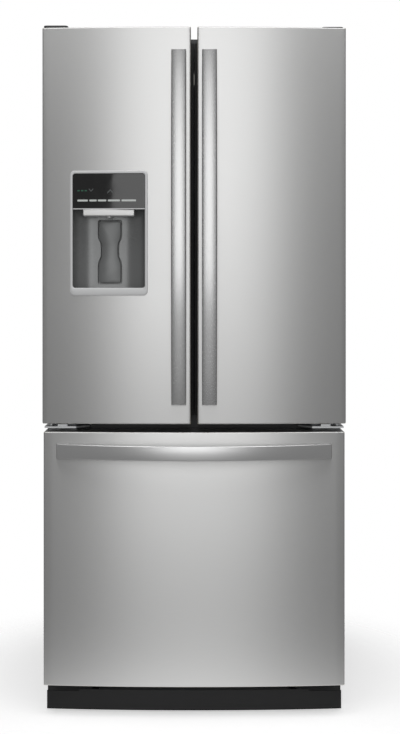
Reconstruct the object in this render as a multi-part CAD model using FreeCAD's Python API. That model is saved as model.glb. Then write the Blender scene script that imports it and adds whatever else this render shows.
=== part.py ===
import FreeCAD, Part
import math
import os

# French door refrigerator: two hinged upper doors, a freezer drawer below, a water dispenser in the left door.
# Frame: millimetres, +Z up, front towards -Y, origin on the floor under the middle of the overall box.

V = FreeCAD.Vector
X, Y, Z = V(1, 0, 0), V(0, 1, 0), V(0, 0, 1)

# ---------------------------------------------------------------- driving dimensions
overall_depth = 846.0          # bow of the handles to the back of the cabinet
door_span = 756.0              # both upper doors and the gap between them
door_gap = 16.0
drawer_width = 750.0
door_bottom, door_top = 730.0, 1716.0
drawer_bottom, drawer_top = 78.0, 710.0
contour_rise = 15.0            # how far the middle of the front stands out from its side edges
door_edge_depth = 75.0         # door thickness at its side edges
handle_reach = 54.0            # door surface to the front of the handle's bow
handle_end_reach = 14.0        # the same at the handle's ends
handle_width, handle_thickness = 36.5, 12.0
skin = 1.0                     # steel door skins and cabinet panels
liner_wall = 2.0
inner_panel = 6.0              # moulded panel that closes the back of a door
gasket_depth, gasket_squeeze_gap = 12.0, 0.2
cabinet_half = 375.0
cabinet_depth = 690.0
cabinet_bottom, cabinet_top = 30.0, 1705.0
wall = 48.0                    # cabinet side wall: panel, foam and liner
rear_wall = 65.0
fresh_floor, fresh_ceiling = 755.0, 1650.0
freezer_floor, freezer_ceiling = 125.0, 690.0
step_face, step_top = 165.0, 342.0        # the freezer's rear step over the machine compartment
machine_front, machine_top = 215.0, 290.0
foam_bottom = 65.0
hinge_inset_side, hinge_inset_back = 16.0, 21.0
pin_radius, running_gap = 5.0, 0.05

# ---------------------------------------------------------------- planes worked out from them
handle_front = -overall_depth / 2
front = handle_front + handle_reach            # door surface at the middle
edge_front = front + contour_rise
door_back = edge_front + door_edge_depth
cabinet_front = door_back + gasket_depth
cabinet_back = cabinet_front + cabinet_depth
door_half = door_span / 2
contour_radius = (door_half ** 2 + contour_rise ** 2) / (2 * contour_rise)
inner_half = cabinet_half - wall               # inside of the liners
liner_half = inner_half + liner_wall
panel_half = cabinet_half - skin
back_wall = cabinet_back - rear_wall           # inside of the liners at the back
pivot_x = door_half - hinge_inset_side
pivot_y = door_back - hinge_inset_back


# ---------------------------------------------------------------- shapes
def block(x0, x1, y0, y1, z0, z1):
    """A box between two corners, given in any order."""
    low = V(min(x0, x1), min(y0, y1), min(z0, z1))
    return Part.makeBox(abs(x1 - x0), abs(y1 - y0), abs(z1 - z0), low)


def rod(x, y, z, radius, length, along=Z):
    return Part.makeCylinder(radius, length, V(x, y, z), along)


def joined(first, *others):
    """Touching or overlapping solids as one."""
    whole = first.fuse(list(others)) if others else first
    return whole.removeSplitter()


def without(shape, *cutters):
    return shape.cut(list(cutters)) if cutters else shape


def straight_edges(shape, axis, keep=lambda centre: True):
    """Straight edges parallel to an axis whose middle passes the test."""
    chosen = []
    for edge in shape.Edges:
        if edge.Curve.TypeId != "Part::GeomLine":
            continue
        parallel = abs(edge.tangentAt(edge.FirstParameter).dot(axis)) > 0.999
        if parallel and keep(edge.CenterOfMass):
            chosen.append(edge)
    return chosen


def rounded_block(x0, x1, y0, y1, z0, z1, radius, axis=Y):
    """A box with the four edges along one axis rounded."""
    shape = block(x0, x1, y0, y1, z0, z1)
    return shape.makeFillet(radius, straight_edges(shape, axis))


def prism(points, direction):
    """A closed outline of straight sides, pushed along direction."""
    return Part.Face(Part.makePolygon(points + points[:1])).extrude(direction)


def yz_prism(outline, x0, x1):
    return prism([V(x0, y, z) for y, z in outline], V(x1 - x0, 0, 0))


def xy_prism(outline, z0, z1):
    return prism([V(x, y, z0) for x, y in outline], V(0, 0, z1 - z0))


def xz_prism(outline, y0, y1):
    return prism([V(x, y0, z) for x, z in outline], V(0, y1 - y0, 0))


def tray(x0, x1, y0, y1, z0, z1, thickness, corner=8.0):
    """An open-topped bin with one wall thickness and rounded upright corners."""
    outer = rounded_block(x0, x1, y0, y1, z0, z1, corner, Z)
    t = thickness
    inner = rounded_block(x0 + t, x1 - t, y0 + t, y1 - t, z0 + t, z1 + 1, max(corner - t, 1.0), Z)
    return outer.cut(inner)


def ring_box(x0, x1, y0, y1, z0, z1, width):
    """A rectangular frame seen from the front, of one strip width."""
    outer = rounded_block(x0, x1, y0, y1, z0, z1, width / 2, Y)
    return outer.cut(block(x0 + width, x1 - width, y0 - 1, y1 + 1, z0 + width, z1 - width))


def contour_y(x, proud=0.0):
    """Where the contoured front is at x, or a surface standing proud of it."""
    return front + contour_radius - math.sqrt((contour_radius + proud) ** 2 - x * x)


def contour_prism(x0, x1, y_back, z0, z1, proud=0.0):
    """From a flat back at y_back forwards to the contoured front."""
    a, b, c = (V(x, contour_y(x, proud), z0) for x in (x0, (x0 + x1) / 2, x1))
    corner_a, corner_c = V(x0, y_back, z0), V(x1, y_back, z0)
    edges = [
        Part.LineSegment(corner_a, a).toShape(),
        Part.Arc(a, b, c).toShape(),
        Part.LineSegment(c, corner_c).toShape(),
        Part.LineSegment(corner_c, corner_a).toShape(),
    ]
    return Part.Face(Part.Wire(edges)).extrude(V(0, 0, z1 - z0))


def contour_plate(x0, x1, z0, z1, outer, inner):
    """A curved plate between two depths, both measured outwards from the contoured front."""
    y_back = front + 120.0
    behind = contour_prism(x0 - 1, x1 + 1, y_back + 1, z0 - 1, z1 + 1, inner)
    return contour_prism(x0, x1, y_back, z0, z1, outer).cut(behind)


def mirrored(shape):
    """The same part for the other side of the refrigerator."""
    return shape.mirror(V(0, 0, 0), X)


def both_sides(shape):
    return [shape, mirrored(shape)]


def pipe_run(points, radius, bend):
    """A round tube through straight runs with bends of one radius."""
    edges = []
    start = points[0]
    for before, corner, after in zip(points, points[1:], points[2:]):
        inward = (corner - before).normalize()
        outward = (after - corner).normalize()
        enter, leave = corner - inward * bend, corner + outward * bend
        middle = corner + (outward - inward) * bend * (1 - math.sqrt(0.5))
        edges.append(Part.LineSegment(start, enter).toShape())
        edges.append(Part.Arc(enter, middle, leave).toShape())
        start = leave
    edges.append(Part.LineSegment(start, points[-1]).toShape())
    direction = (points[1] - points[0]).normalize()
    section = Part.Wire(Part.makeCircle(radius, points[0], direction))
    return Part.Wire(edges).makePipeShell([section], True, True)


def export(node, *shapes):
    """One STEP file for a node, holding one or more separate closed solids."""
    solids = [solid for shape in shapes for solid in shape.Solids]
    for solid in solids:
        if not solid.isValid() or solid.Volume <= 0:
            raise ValueError(f"{node} holds a bad solid")
    whole = solids[0] if len(solids) == 1 else Part.makeCompound(solids)
    whole.exportStep(os.path.join("parts", node + ".step"))


# ---------------------------------------------------------------- cabinet: panels, insulation, liners
def cabinet_panels():
    side = block(panel_half, cabinet_half, cabinet_front, cabinet_back, cabinet_bottom, cabinet_top)
    top = block(-panel_half, panel_half, cabinet_front, cabinet_back, cabinet_top - skin, cabinet_top)
    back = block(-panel_half, panel_half, cabinet_back - skin, cabinet_back, machine_top, cabinet_top - skin)
    bottom = block(-panel_half, panel_half, cabinet_front, machine_front, foam_bottom - skin, foam_bottom)
    face = cabinet_front, cabinet_front + skin
    stile = block(inner_half, panel_half, *face, foam_bottom, cabinet_top - skin)
    rails = [
        block(-inner_half, inner_half, *face, low, high)
        for low, high in (
            (foam_bottom, freezer_floor),
            (freezer_ceiling, fresh_floor),
            (fresh_ceiling, cabinet_top - skin),
        )
    ]
    export("cabinet_panels", *both_sides(side), top, back, bottom, *both_sides(stile), *rails)


def insulation_foam():
    """Foam filling the walls, each slab a plain block between panel and liner."""
    y0, y1 = cabinet_front + skin, cabinet_back - skin
    back = back_wall + liner_wall
    step = step_face + liner_wall
    side_front = block(liner_half, panel_half, y0, machine_front, foam_bottom, cabinet_top - skin)
    side_back = block(liner_half, panel_half, machine_front, y1, machine_top, cabinet_top - skin)
    slabs = [
        block(-liner_half, liner_half, *spans)
        for spans in (
            (y0, y1, fresh_ceiling + liner_wall, cabinet_top - skin),
            (back, y1, machine_top, fresh_ceiling + liner_wall),
            (y0, back, freezer_ceiling + liner_wall, fresh_floor - liner_wall),
            (y0, step, foam_bottom, freezer_floor - liner_wall),
            (step, machine_front, foam_bottom, machine_top),
            (step, back, machine_top, step_top - liner_wall),
        )
    ]
    export("insulation_foam", *both_sides(side_front), *both_sides(side_back), *slabs)


crisper_front, crisper_back = -90.0, 310.0
crisper_bottom, crisper_top = 775.0, 978.0
crisper_inner_x, crisper_outer_x = 5.0, 309.0
crisper_wall = 3.0
ledge_clear = 0.5                                # crisper runner to the ledge under it
runner_thickness = 4.0
flap_pivot_x, flap_pivot_y = -37.0, cabinet_front + 9.0
flap_bottom, flap_top = 778.0, 1630.0
flap_width, flap_thickness = 72.0, 14.0
flap_pin = 3.0
cover_bottom, cover_top = 990.0, 1006.0          # frame that roofs the crispers


def fresh_food_liner():
    y0 = cabinet_front + skin
    shell = without(
        block(-liner_half, liner_half, y0, back_wall + liner_wall,
              fresh_floor - liner_wall, fresh_ceiling + liner_wall),
        block(-inner_half, inner_half, y0 - 1, back_wall, fresh_floor, fresh_ceiling),
    )
    inside_corners = straight_edges(
        shell, Z, lambda c: abs(c.y - back_wall) < 0.5 and abs(abs(c.x) - inner_half) < 0.5)
    shell = shell.makeFillet(18.0, inside_corners)
    ledge_top = crisper_top - runner_thickness - ledge_clear
    ledge = block(crisper_outer_x + 1.5, inner_half, crisper_front + 6, crisper_back - 4,
                  ledge_top - 8, ledge_top)
    guide_y = cabinet_front + 22.0
    guide = without(
        block(flap_pivot_x - 4, flap_pivot_x + 44, guide_y, guide_y + 50, fresh_ceiling - 12, fresh_ceiling),
        block(flap_pivot_x + 2, flap_pivot_x + 38, guide_y - 1, guide_y + 38,
              fresh_ceiling - 13, fresh_ceiling - 3),
    )
    export("fresh_food_liner", joined(shell, *both_sides(ledge), guide))


def freezer_liner():
    y0 = cabinet_front + skin
    t = liner_wall
    outer = yz_prism(
        [(y0, freezer_floor - t), (step_face + t, freezer_floor - t), (step_face + t, step_top - t),
         (back_wall + t, step_top - t), (back_wall + t, freezer_ceiling + t), (y0, freezer_ceiling + t)],
        -liner_half, liner_half)
    inner = yz_prism(
        [(y0 - 1, freezer_floor), (step_face, freezer_floor), (step_face, step_top),
         (back_wall, step_top), (back_wall, freezer_ceiling), (y0 - 1, freezer_ceiling)],
        -inner_half, inner_half)
    export("freezer_liner", outer.cut(inner))


# ---------------------------------------------------------------- base: frame, legs, rollers, grille
leg_x, leg_y = 320.0, cabinet_front + 32.0
leg_stem, leg_pad, leg_pad_height, leg_height = 6.0, 18.0, 9.0, 60.0
roller_x, roller_y, roller_radius, roller_width = 320.0, 370.0, 20.0, 16.0
axle_radius = 4.0
frame_low, frame_high, apron_bottom = 44.0, 64.0, 22.0
frame_sheet = 2.0
grille_half, grille_setback = 371.5, 44.0
grille_bottom, grille_top, grille_step = 6.0, 57.0, 5.0
grille_wall = 3.0


def base_frame():
    t = frame_sheet
    y0, y1 = cabinet_front + 8, cabinet_back - 6
    rail = without(
        block(342, panel_half, y0, y1, frame_low, frame_high),
        block(342 + t, panel_half - t, y0 + 60, y1 - 14, frame_low + t, frame_high + 1),
    )
    beam = without(
        block(-342, 342, y0, y0 + 48, frame_low, frame_high),
        block(-290, 290, y0 + t, y0 + 48 - t, frame_low - 1, frame_high - t),
    )
    apron = block(-panel_half, panel_half, y0, y0 + t, apron_bottom, frame_low + t)
    floor = block(-342, 342, machine_front + 4, y1, frame_low, frame_low + t)
    lip = block(-342, 342, machine_front + 4, machine_front + 4 + t, frame_low, frame_high)
    brackets = []
    for side in (-1, 1):
        for face in (-1, 1):
            inside = side * roller_x + face * (roller_width / 2 + 1)
            brackets.append(block(inside, inside + face * 3, roller_y - 14, roller_y + 14, 12, frame_low + t))
        length = roller_width + 8
        brackets.append(rod(side * roller_x - length / 2, roller_y, roller_radius, axle_radius, length, X))
    holes = [rod(side * leg_x, leg_y, 0, leg_stem + running_gap, 100) for side in (-1, 1)]
    export("base_frame", without(joined(beam, apron, floor, lip, *both_sides(rail), *brackets), *holes))


def levelling_legs():
    for side, name in ((-1, "left"), (1, "right")):
        pad = rod(side * leg_x, leg_y, 0, leg_pad, leg_pad_height)
        rim = [e for e in pad.Edges if e.BoundBox.ZMin > leg_pad_height - 0.1]
        stem = rod(side * leg_x, leg_y, leg_pad_height - 1, leg_stem, leg_height - leg_pad_height)
        export(f"levelling_leg_{name}", joined(pad.makeFillet(2.0, rim), stem))


def rear_rollers():
    for side, name in ((-1, "left"), (1, "right")):
        x0 = side * roller_x - roller_width / 2
        wheel = rod(x0, roller_y, roller_radius, roller_radius, roller_width, X)
        bore = rod(x0 - 1, roller_y, roller_radius, axle_radius + running_gap, roller_width + 2, X)
        dish = rod(x0 - 1, roller_y, roller_radius, roller_radius - 5, 4, X)
        hub = rod(x0 - 1, roller_y, roller_radius, axle_radius + 4, 5, X)
        export(f"rear_roller_{name}", without(wheel, dish.cut(hub), bore))


def base_grille():
    plate = contour_plate(-grille_half, grille_half, grille_bottom, grille_top,
                          -grille_setback, -grille_setback - grille_wall)
    ends = [
        block(side * 290, side * (grille_half + 1), front, front + 120, grille_top - grille_step, grille_top + 1)
        for side in (-1, 1)
    ]
    arms = [
        block(side * 250 - 9, side * 250 + 9, contour_y(250, -grille_setback - grille_wall) - 1,
              cabinet_front + 8, 46, 51)
        for side in (-1, 1)
    ]
    export("base_grille", joined(without(plate, *ends), *arms))


# ---------------------------------------------------------------- machine compartment
cover_y0, cover_y1 = cabinet_back - 4.0, cabinet_back - 2.0
water_x, water_z, water_radius, water_length = 270.0, 150.0, 5.55, 16.0
inlet_x, inlet_z, inlet_w, inlet_h = -318.0, 240.0, 27.0, 20.0
compressor_x, compressor_y, compressor_radius = -230.0, 316.0, 74.0
fan_x, fan_y, fan_z, fan_radius = 88.0, 316.0, 155.0, 62.0


def machine_cover():
    cover = block(-368, 368, cover_y0, cover_y1, frame_high + 3, machine_top - 2)
    slots = [
        block(x - 3, x + 3, cover_y0 - 1, cover_y1 + 1, z, z + 34)
        for x in range(-232, 233, 16)
        for z in (92, 142, 192)
    ]
    port = block(water_x - 22, water_x + 22, cover_y0 - 1, cover_y1 + 1, water_z - 22, water_z + 22)
    socket = block(inlet_x - 20, inlet_x + 20, cover_y0 - 1, cover_y1 + 1, inlet_z - 16, inlet_z + 16)
    export("machine_cover", without(cover, port, socket, *slots))


def compressor():
    x, y = compressor_x, compressor_y
    floor = frame_low + frame_sheet
    shell = rod(x, y, floor + 16, compressor_radius, 132)
    rims = [e for e in shell.Edges if e.Length > compressor_radius]
    rims = [e for e in rims if abs(e.BoundBox.ZMax - e.BoundBox.ZMin) < 0.1]
    shell = shell.makeFillet(34.0, rims)
    plate = rounded_block(x - 95, x + 95, y - 60, y + 60, floor + 12, floor + 18, 12, Z)
    feet = [
        rod(x + i * 78, y + j * 44, floor, 11, 14)
        for i in (-1, 1)
        for j in (-1, 1)
    ]
    start_box = rounded_block(x + 62, x + 100, y - 26, y + 26, floor + 50, floor + 104, 5, X)
    stub = pipe_run([V(x - 20, y + 40, floor + 140), V(x - 20, y + 40, floor + 182), V(x - 20, y - 20, floor + 182)],
                    4.0, 14.0)
    export("compressor", joined(shell, plate, *feet, start_box, stub))


def condenser_coil():
    """Three flat serpentines of tube held by two end plates."""
    layers = []
    for layer in range(3):
        z = 84 + layer * 44
        points = [V(-112, 240, z)]
        for lane in range(6):
            y = 240 + lane * 28
            near, far = (-112, 22) if lane % 2 == 0 else (22, -112)
            if lane:
                points.append(V(near, y, z))
            points.append(V(far, y, z))
        layers.append(pipe_run(points, 3.2, 12.0))
    plates = [
        block(x, x + 1.5, 232, 388, 66, 186)
        for x in (-92, 2)
    ]
    legs = [block(x, x + 12, y, y + 8, frame_low + frame_sheet + 14, 67) for x in (-92, -9) for y in (232, 380)]
    export("condenser_coil", joined(plates[0], plates[1], *layers, *legs))


def drain_pan():
    export("drain_pan", tray(-128, 38, 226, 394, frame_low + frame_sheet, 60, 2.0, 6.0))


def fan_shroud():
    plate = without(
        block(56, 60, 232, 400, frame_low + frame_sheet, 245),
        rod(55, fan_y, fan_z, fan_radius + 6, 10, X),
    )
    collar = rod(56, fan_y, fan_z, fan_radius + 10, 36, X).cut(rod(55, fan_y, fan_z, fan_radius + 6, 40, X))
    motor = rod(112, fan_y, fan_z, 20, 40, X)
    axle = rod(80, fan_y, fan_z, 3, 34, X)
    arms = []
    for turn in range(3):
        arm = block(104, 110, fan_y - 4, fan_y + 4, fan_z, fan_z + fan_radius + 8)
        arm = arm.fuse(block(88, 110, fan_y - 4, fan_y + 4, fan_z + fan_radius + 6.5, fan_z + fan_radius + 9.5))
        arm.rotate(V(0, fan_y, fan_z), X, 120 * turn)
        arms.append(arm)
    spider = rod(104, fan_y, fan_z, 14, 10, X)
    export("fan_shroud", joined(plate, collar, spider, motor, axle, *arms))


def condenser_fan():
    hub = rod(66, fan_y, fan_z, 14, 26, X)
    blades = []
    for turn in range(5):
        blade = block(78, 79.6, fan_y - 17, fan_y + 17, fan_z + 10, fan_z + fan_radius - 2)
        blade.rotate(V(79, fan_y, fan_z), Z, 28)
        blade.rotate(V(0, fan_y, fan_z), X, 72 * turn)
        blades.append(blade)
    bore = rod(79, fan_y, fan_z, 3 + running_gap, 20, X)
    limit = rod(60, fan_y, fan_z, fan_radius, 40, X)
    export("condenser_fan", joined(hub, *blades).common(limit).cut(bore))


def water_valve():
    x, z = water_x, water_z
    body = rounded_block(x - 24, x + 24, cabinet_back - 58, cabinet_back - 22, z - 20, z + 20, 4, Y)
    neck = rod(x, cabinet_back - 23, z, 9, 8, Y)
    inlet = rod(x, cabinet_back - water_length, z, water_radius, water_length, Y)
    coil = rod(x, cabinet_back - 40, z + 18, 15, 38)
    bracket = block(x - 8, x + 8, cabinet_back - 44, cabinet_back - 36, frame_low + frame_sheet, z - 18)
    outlet = rod(x - 40, cabinet_back - 40, z, 5, 20, X)
    export("water_valve", joined(body, neck, inlet, coil, bracket, outlet))


def power_inlet():
    """Appliance socket with three blades in a recess; it faces the back."""
    x, z = inlet_x, inlet_z
    flange = block(x - 26, x + 26, cover_y0 - 2.5, cover_y0, z - 22, z + 22)
    body = block(x - 19, x + 19, cover_y0 - 26, cabinet_back - 1, z - 15, z + 15)
    recess = block(x - inlet_w / 2, x + inlet_w / 2, cover_y0 - 18, cabinet_back, z - inlet_h / 2, z + inlet_h / 2)
    blades = [
        block(x + dx - 1, x + dx + 1, cover_y0 - 19, cover_y0 - 4, z + dz - 2.5, z + dz + 2.5)
        for dx, dz in ((-7, -2), (7, -2), (0, 4))
    ]
    mount = block(x - 19, x + 19, cover_y0 - 26, cover_y0 - 20, z + 14, machine_top)
    export("power_inlet", joined(without(joined(flange, body, mount), recess), *blades))


# ---------------------------------------------------------------- inside the compartments
evaporator_front = 312.0
shelf_front, shelf_back = -150.0, 328.0
shelf_heights = (1190.0, 1420.0)
shelf_inner_x, shelf_outer_x = 5.0, 320.0
shelf_frame_height, shelf_rim = 14.0, 12.0
glass_thickness = 4.0
track_x, track_front = 180.0, back_wall - 7.0


def evaporator_cover():
    cover = block(-325, 325, evaporator_front, evaporator_front + 3, step_top + 1, freezer_ceiling - 1)
    slots = [
        block(x - 34, x + 34, evaporator_front - 1, evaporator_front + 4, z, z + 6)
        for x in (-200, -100, 0, 100, 200)
        for z in (604, 620, 636, 368, 384)
    ]
    export("evaporator_cover", without(cover, *slots))


def evaporator_coil():
    """A finned serpentine behind the cover."""
    points = [V(-250, 336, 420)]
    for lane in range(6):
        z = 420 + lane * 30
        near, far = (-250, 250) if lane % 2 == 0 else (250, -250)
        if lane:
            points.append(V(near, 336, z))
        points.append(V(far, 336, z))
    fins = [block(x, x + 1, 322, 352, 408, 582) for x in range(-220, 221, 20)]
    ends = [block(x, x + 2, 320, back_wall, 400, 590) for x in (-234, 232)]
    export("evaporator_coil", joined(pipe_run(points, 4.0, 13.0), *fins, *ends))


def air_tower():
    tower = rounded_block(-62, 62, back_wall - 26, back_wall, 1030, 1610, 12, Z)
    tower = joined(tower, block(-62, 62, back_wall - 12, back_wall, 1030, 1610))
    hollow = block(-56, 56, back_wall - 21, back_wall - 5, 1036, 1604)
    vents = [
        block(-40, 40, back_wall - 30, back_wall - 20, z, z + 6)
        for base in (1120, 1340, 1520)
        for z in (base, base + 12, base + 24)
    ]
    export("air_tower", without(tower, hollow, *vents))


def ceiling_light():
    lens = rounded_block(-75, 75, -70, 50, fresh_ceiling - 9, fresh_ceiling, 14, Z)
    export("ceiling_light", lens)


def shelf_tracks():
    track = block(track_x - 9, track_x + 9, track_front, back_wall, 1040, 1600)
    slots = [
        block(track_x - 2.5, track_x + 2.5, track_front - 1, back_wall - 2, z, z + 12)
        for z in range(1056, 1580, 24)
    ]
    export("shelf_tracks", *both_sides(without(track, *slots)))


def shelf_frame(z):
    """One cantilever shelf: moulded rim round the glass and a steel arm at each side."""
    z1 = z + shelf_frame_height
    rim = rounded_block(shelf_inner_x, shelf_outer_x, shelf_front, shelf_back, z, z1, 6, Z)
    seat = z1 - glass_thickness - 1
    opening = block(shelf_inner_x + shelf_rim, shelf_outer_x - shelf_rim, shelf_front + shelf_rim,
                    shelf_back - shelf_rim, z - 1, z1 + 1)
    pocket = block(shelf_inner_x + 4, shelf_outer_x - 4, shelf_front + 4, shelf_back - 4, seat, z1 + 1)
    arm = yz_prism([(shelf_front + 60, z), (shelf_back, z - 44), (track_front, z - 44), (track_front, z)],
                   track_x - 1.5, track_x + 1.5)
    brace = block(track_x - 6, track_x + 6, shelf_front + shelf_rim - 1, shelf_back - shelf_rim + 1, z, z + 4)
    return joined(without(rim, opening, pocket), brace, arm)


def shelf_frames():
    halves = [shelf_frame(z) for z in shelf_heights]
    cover = rounded_block(-inner_half + 1, inner_half - 1, crisper_front - 6, shelf_back, cover_bottom, cover_top, 6, Z)
    openings = [
        block(x0, x1, crisper_front + 10, shelf_back - 16, cover_bottom - 1, cover_top + 1)
        for x0, x1 in ((-inner_half + 16, -8), (8, inner_half - 16))
    ]
    pocket = block(-inner_half + 6, inner_half - 6, crisper_front - 1, shelf_back - 6,
                   cover_top - glass_thickness - 1, cover_top + 1)
    shelves = [shape for half in halves for shape in both_sides(half)]
    export("shelf_frames", without(cover, pocket, *openings), *shelves)


def shelf_glass():
    panes = []
    for z in shelf_heights:
        top = z + shelf_frame_height - 1
        pane = block(shelf_inner_x + 4.2, shelf_outer_x - 4.2, shelf_front + 4.2, shelf_back - 4.2,
                     top - glass_thickness, top)
        panes += both_sides(pane)
    top = cover_top - 1
    panes.append(block(-inner_half + 6.2, inner_half - 6.2, crisper_front - 0.8, shelf_back - 6.2,
                       top - glass_thickness, top))
    export("shelf_glass", *panes)


def crispers():
    """Two clear drawers on ledges, each with a moulded front and a finger lip."""
    shell = tray(crisper_inner_x, crisper_outer_x, crisper_front + 6, crisper_back,
                 crisper_bottom, crisper_top, crisper_wall, 7)
    face = rounded_block(crisper_inner_x, crisper_outer_x, crisper_front, crisper_front + 7,
                         crisper_bottom - 6, crisper_top + 4, 3, Z)
    lip = block(crisper_inner_x + 60, crisper_outer_x - 60, crisper_front - 12, crisper_front + 1,
                crisper_top - 6, crisper_top)
    hook = block(crisper_inner_x + 60, crisper_outer_x - 60, crisper_front - 12, crisper_front - 9,
                 crisper_top - 18, crisper_top)
    runner = block(crisper_outer_x - 1, inner_half - 1, crisper_front + 8, crisper_back - 8,
                   crisper_top - runner_thickness, crisper_top)
    body = joined(shell, face, lip, hook, runner)
    export("crisper_right", body)
    export("crisper_left", mirrored(body))


ice_x0, ice_x1 = -318.0, -190.0


def ice_maker():
    """Ice mould with its dividers, a control box in front and a wire arm, hung on the freezer's side wall."""
    housing = rounded_block(ice_x0, ice_x1, 40, 290, 622, 688, 5, Y)
    mould = block(ice_x0 + 6, ice_x1 - 20, 48, 282, 660, 689)
    front_box = rounded_block(ice_x0 + 6, ice_x1 - 8, 16, 42, 618, 682, 5, Z)
    fins = [block(ice_x0 + 5, ice_x1 - 19, y, y + 3, 659, 683) for y in range(66, 270, 24)]
    hangers = [block(-inner_half, ice_x0 + 1, y, y + 24, 640, 680) for y in (70, 236)]
    arm = pipe_run([V(ice_x1 + 4, 30, 640), V(ice_x1 + 4, 30, 606), V(ice_x1 + 4, 262, 606),
                    V(ice_x1 + 4, 262, 640)], 1.8, 8.0)
    pins = [block(ice_x1 - 10, ice_x1 + 6, y - 3, y + 3, 636, 644) for y in (30, 262)]
    export("ice_maker", joined(without(housing, mould), front_box, *fins, *hangers, arm, *pins))


# ---------------------------------------------------------------- hinges and their covers
arm_low, arm_high = door_top + 1.5, door_top + 5.0
centre_low, centre_high = 717.0, 721.0


def top_hinges():
    x0, x1 = pivot_x - 30, pivot_x + 11
    foot = block(x0, x1, cabinet_front + 6, cabinet_front + 84, cabinet_top, cabinet_top + 3.5)
    riser = block(x0, x1, cabinet_front + 6, cabinet_front + 9.5, cabinet_top, arm_high)
    arm = rounded_block(x0, x1, pivot_y - 12, cabinet_front + 9.5, arm_low, arm_high, 5, Z)
    pin = rod(pivot_x, pivot_y, door_top - 26, pin_radius, 28)
    screws = [rod(x, cabinet_front + y, cabinet_top + 3, 6, 4) for x in (x0 + 10, x1 - 10) for y in (30, 62)]
    export("top_hinges", *both_sides(joined(foot, riser, arm, pin, *screws)))


def hinge_cover(outer_x, inner_x, top):
    """A cap over one top hinge, open underneath, clear of the door that turns below it."""
    y0, y1 = pivot_y - 26, cabinet_front + 118
    t = 2.0
    lifted = rounded_block(inner_x, outer_x, y0, cabinet_front + 20, door_top + 1, top, 8, Z)
    seated = rounded_block(inner_x, cabinet_half, cabinet_front + 3, y1, cabinet_top, top, 8, Z)
    middle = block(inner_x, cabinet_half, cabinet_front + 3, cabinet_front + 30, cabinet_top, top)
    front_room = block(inner_x + t, outer_x - t, y0 + t, cabinet_front + 20, door_top, top - t)
    back_room = block(inner_x + t, cabinet_half - t, cabinet_front + 3 + t, y1 - t, cabinet_top - 1, top - t)
    return without(joined(lifted, seated, middle), front_room, back_room)


def hinge_covers():
    export("hinge_cover_left", mirrored(hinge_cover(door_half, door_half - 60, door_top + 11.5)))
    export("hinge_cover_right", hinge_cover(door_half - 3, door_half - 56, door_top + 8.0))


def centre_hinges():
    back_plate = block(300, panel_half - 2, cabinet_front - 3, cabinet_front, 706, 738)
    wing = xy_prism([(264, cabinet_front), (264, cabinet_front - 34), (296, pivot_y - 34),
                     (door_half - 3, pivot_y - 34), (door_half - 3, cabinet_front)], centre_low, centre_high)
    washer = rod(pivot_x, pivot_y, centre_high - 1, 9, 5)
    pin = rod(pivot_x, pivot_y, centre_low, pin_radius, 35)
    stop = block(318, 342, pivot_y - 30, pivot_y + 8, centre_high - 1, centre_high + 5)
    export("centre_hinges", *both_sides(joined(back_plate, wing, washer, pin, stop)))


# ---------------------------------------------------------------- doors
dispenser_x0, dispenser_x1 = -302.0, -122.0      # recess
dispenser_z0, recess_top = 1068.0, 1265.0
panel_z0, panel_z1 = 1265.0, 1352.0
dispenser_ring = 7.0
ledge_z0 = 1049.0
housing_wall = 2.5
recess_back = -318.0           # wall round the paddle
well_back = -296.0             # behind the paddle
well_wall, well_side = 2.5, 6.0
housing_x0, housing_x1 = dispenser_x0 - housing_wall, dispenser_x1 + housing_wall
housing_z0, housing_z1 = ledge_z0 + 3.0, panel_z1 + housing_wall
housing_back = recess_back + housing_wall
paddle_x, paddle_width, paddle_waist = -212.0, 54.0, 39.0
paddle_low, paddle_high = 1081.0, 1236.0
paddle_y, paddle_thickness = -314.0, 4.0
paddle_pin, paddle_pin_z, paddle_pin_hold = 2.0, 1232.0, 7.0
paddle_gap = 3.0                                 # round the paddle in its well
dike_height, dike_width = 47.0, 12.0
dike_inner, dike_outer = 58.0, 312.0             # door's inner ridge: centre side and hinge side
dike_low, dike_high = 772.0, 1640.0
door_gasket_out = pivot_x - 2.0
door_gasket_width = 16.0
centre_lip_gap = 0.5                             # each door's gasket lip stops this far from the middle


def pin_holes(side):
    """Bores in a door for the pins above and below it."""
    radius = pin_radius + running_gap
    return [
        rod(side * pivot_x, pivot_y, door_top - 28, radius, 40),
        rod(side * pivot_x, pivot_y, door_bottom - 10, radius, 34),
    ]


def door_skin(x0, x1, z0, z1):
    """Steel folded round the front, sides, top and bottom; open at the back."""
    outer = contour_prism(x0, x1, door_back, z0, z1)
    inner = contour_prism(x0 + skin, x1 - skin, door_back + 1, z0 + skin, z1 - skin, -skin)
    return outer.cut(inner)


def upper_door_skins():
    right = without(door_skin(door_gap / 2, door_half, door_bottom, door_top), *pin_holes(1))
    export("right_door_skin", right)
    opening = contour_prism(housing_x0, housing_x1, door_back, housing_z0, housing_z1, 5)
    left = without(door_skin(-door_half, -door_gap / 2, door_bottom, door_top), opening, *pin_holes(-1))
    export("left_door_skin", left)


def door_core(x0, x1, z0, z1):
    """Foam between the skin and the inner panel."""
    return contour_prism(x0, x1, door_back - inner_panel, z0, z1, -skin)


def well_box(grow=0.0):
    """Outside of the box behind the recess that the paddle swings in."""
    half = paddle_width / 2 + paddle_gap + well_side + grow
    reach = paddle_gap + well_side + grow
    return block(paddle_x - half, paddle_x + half, recess_back, well_back + well_wall + grow,
                 paddle_low - reach, paddle_high + reach)


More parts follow.
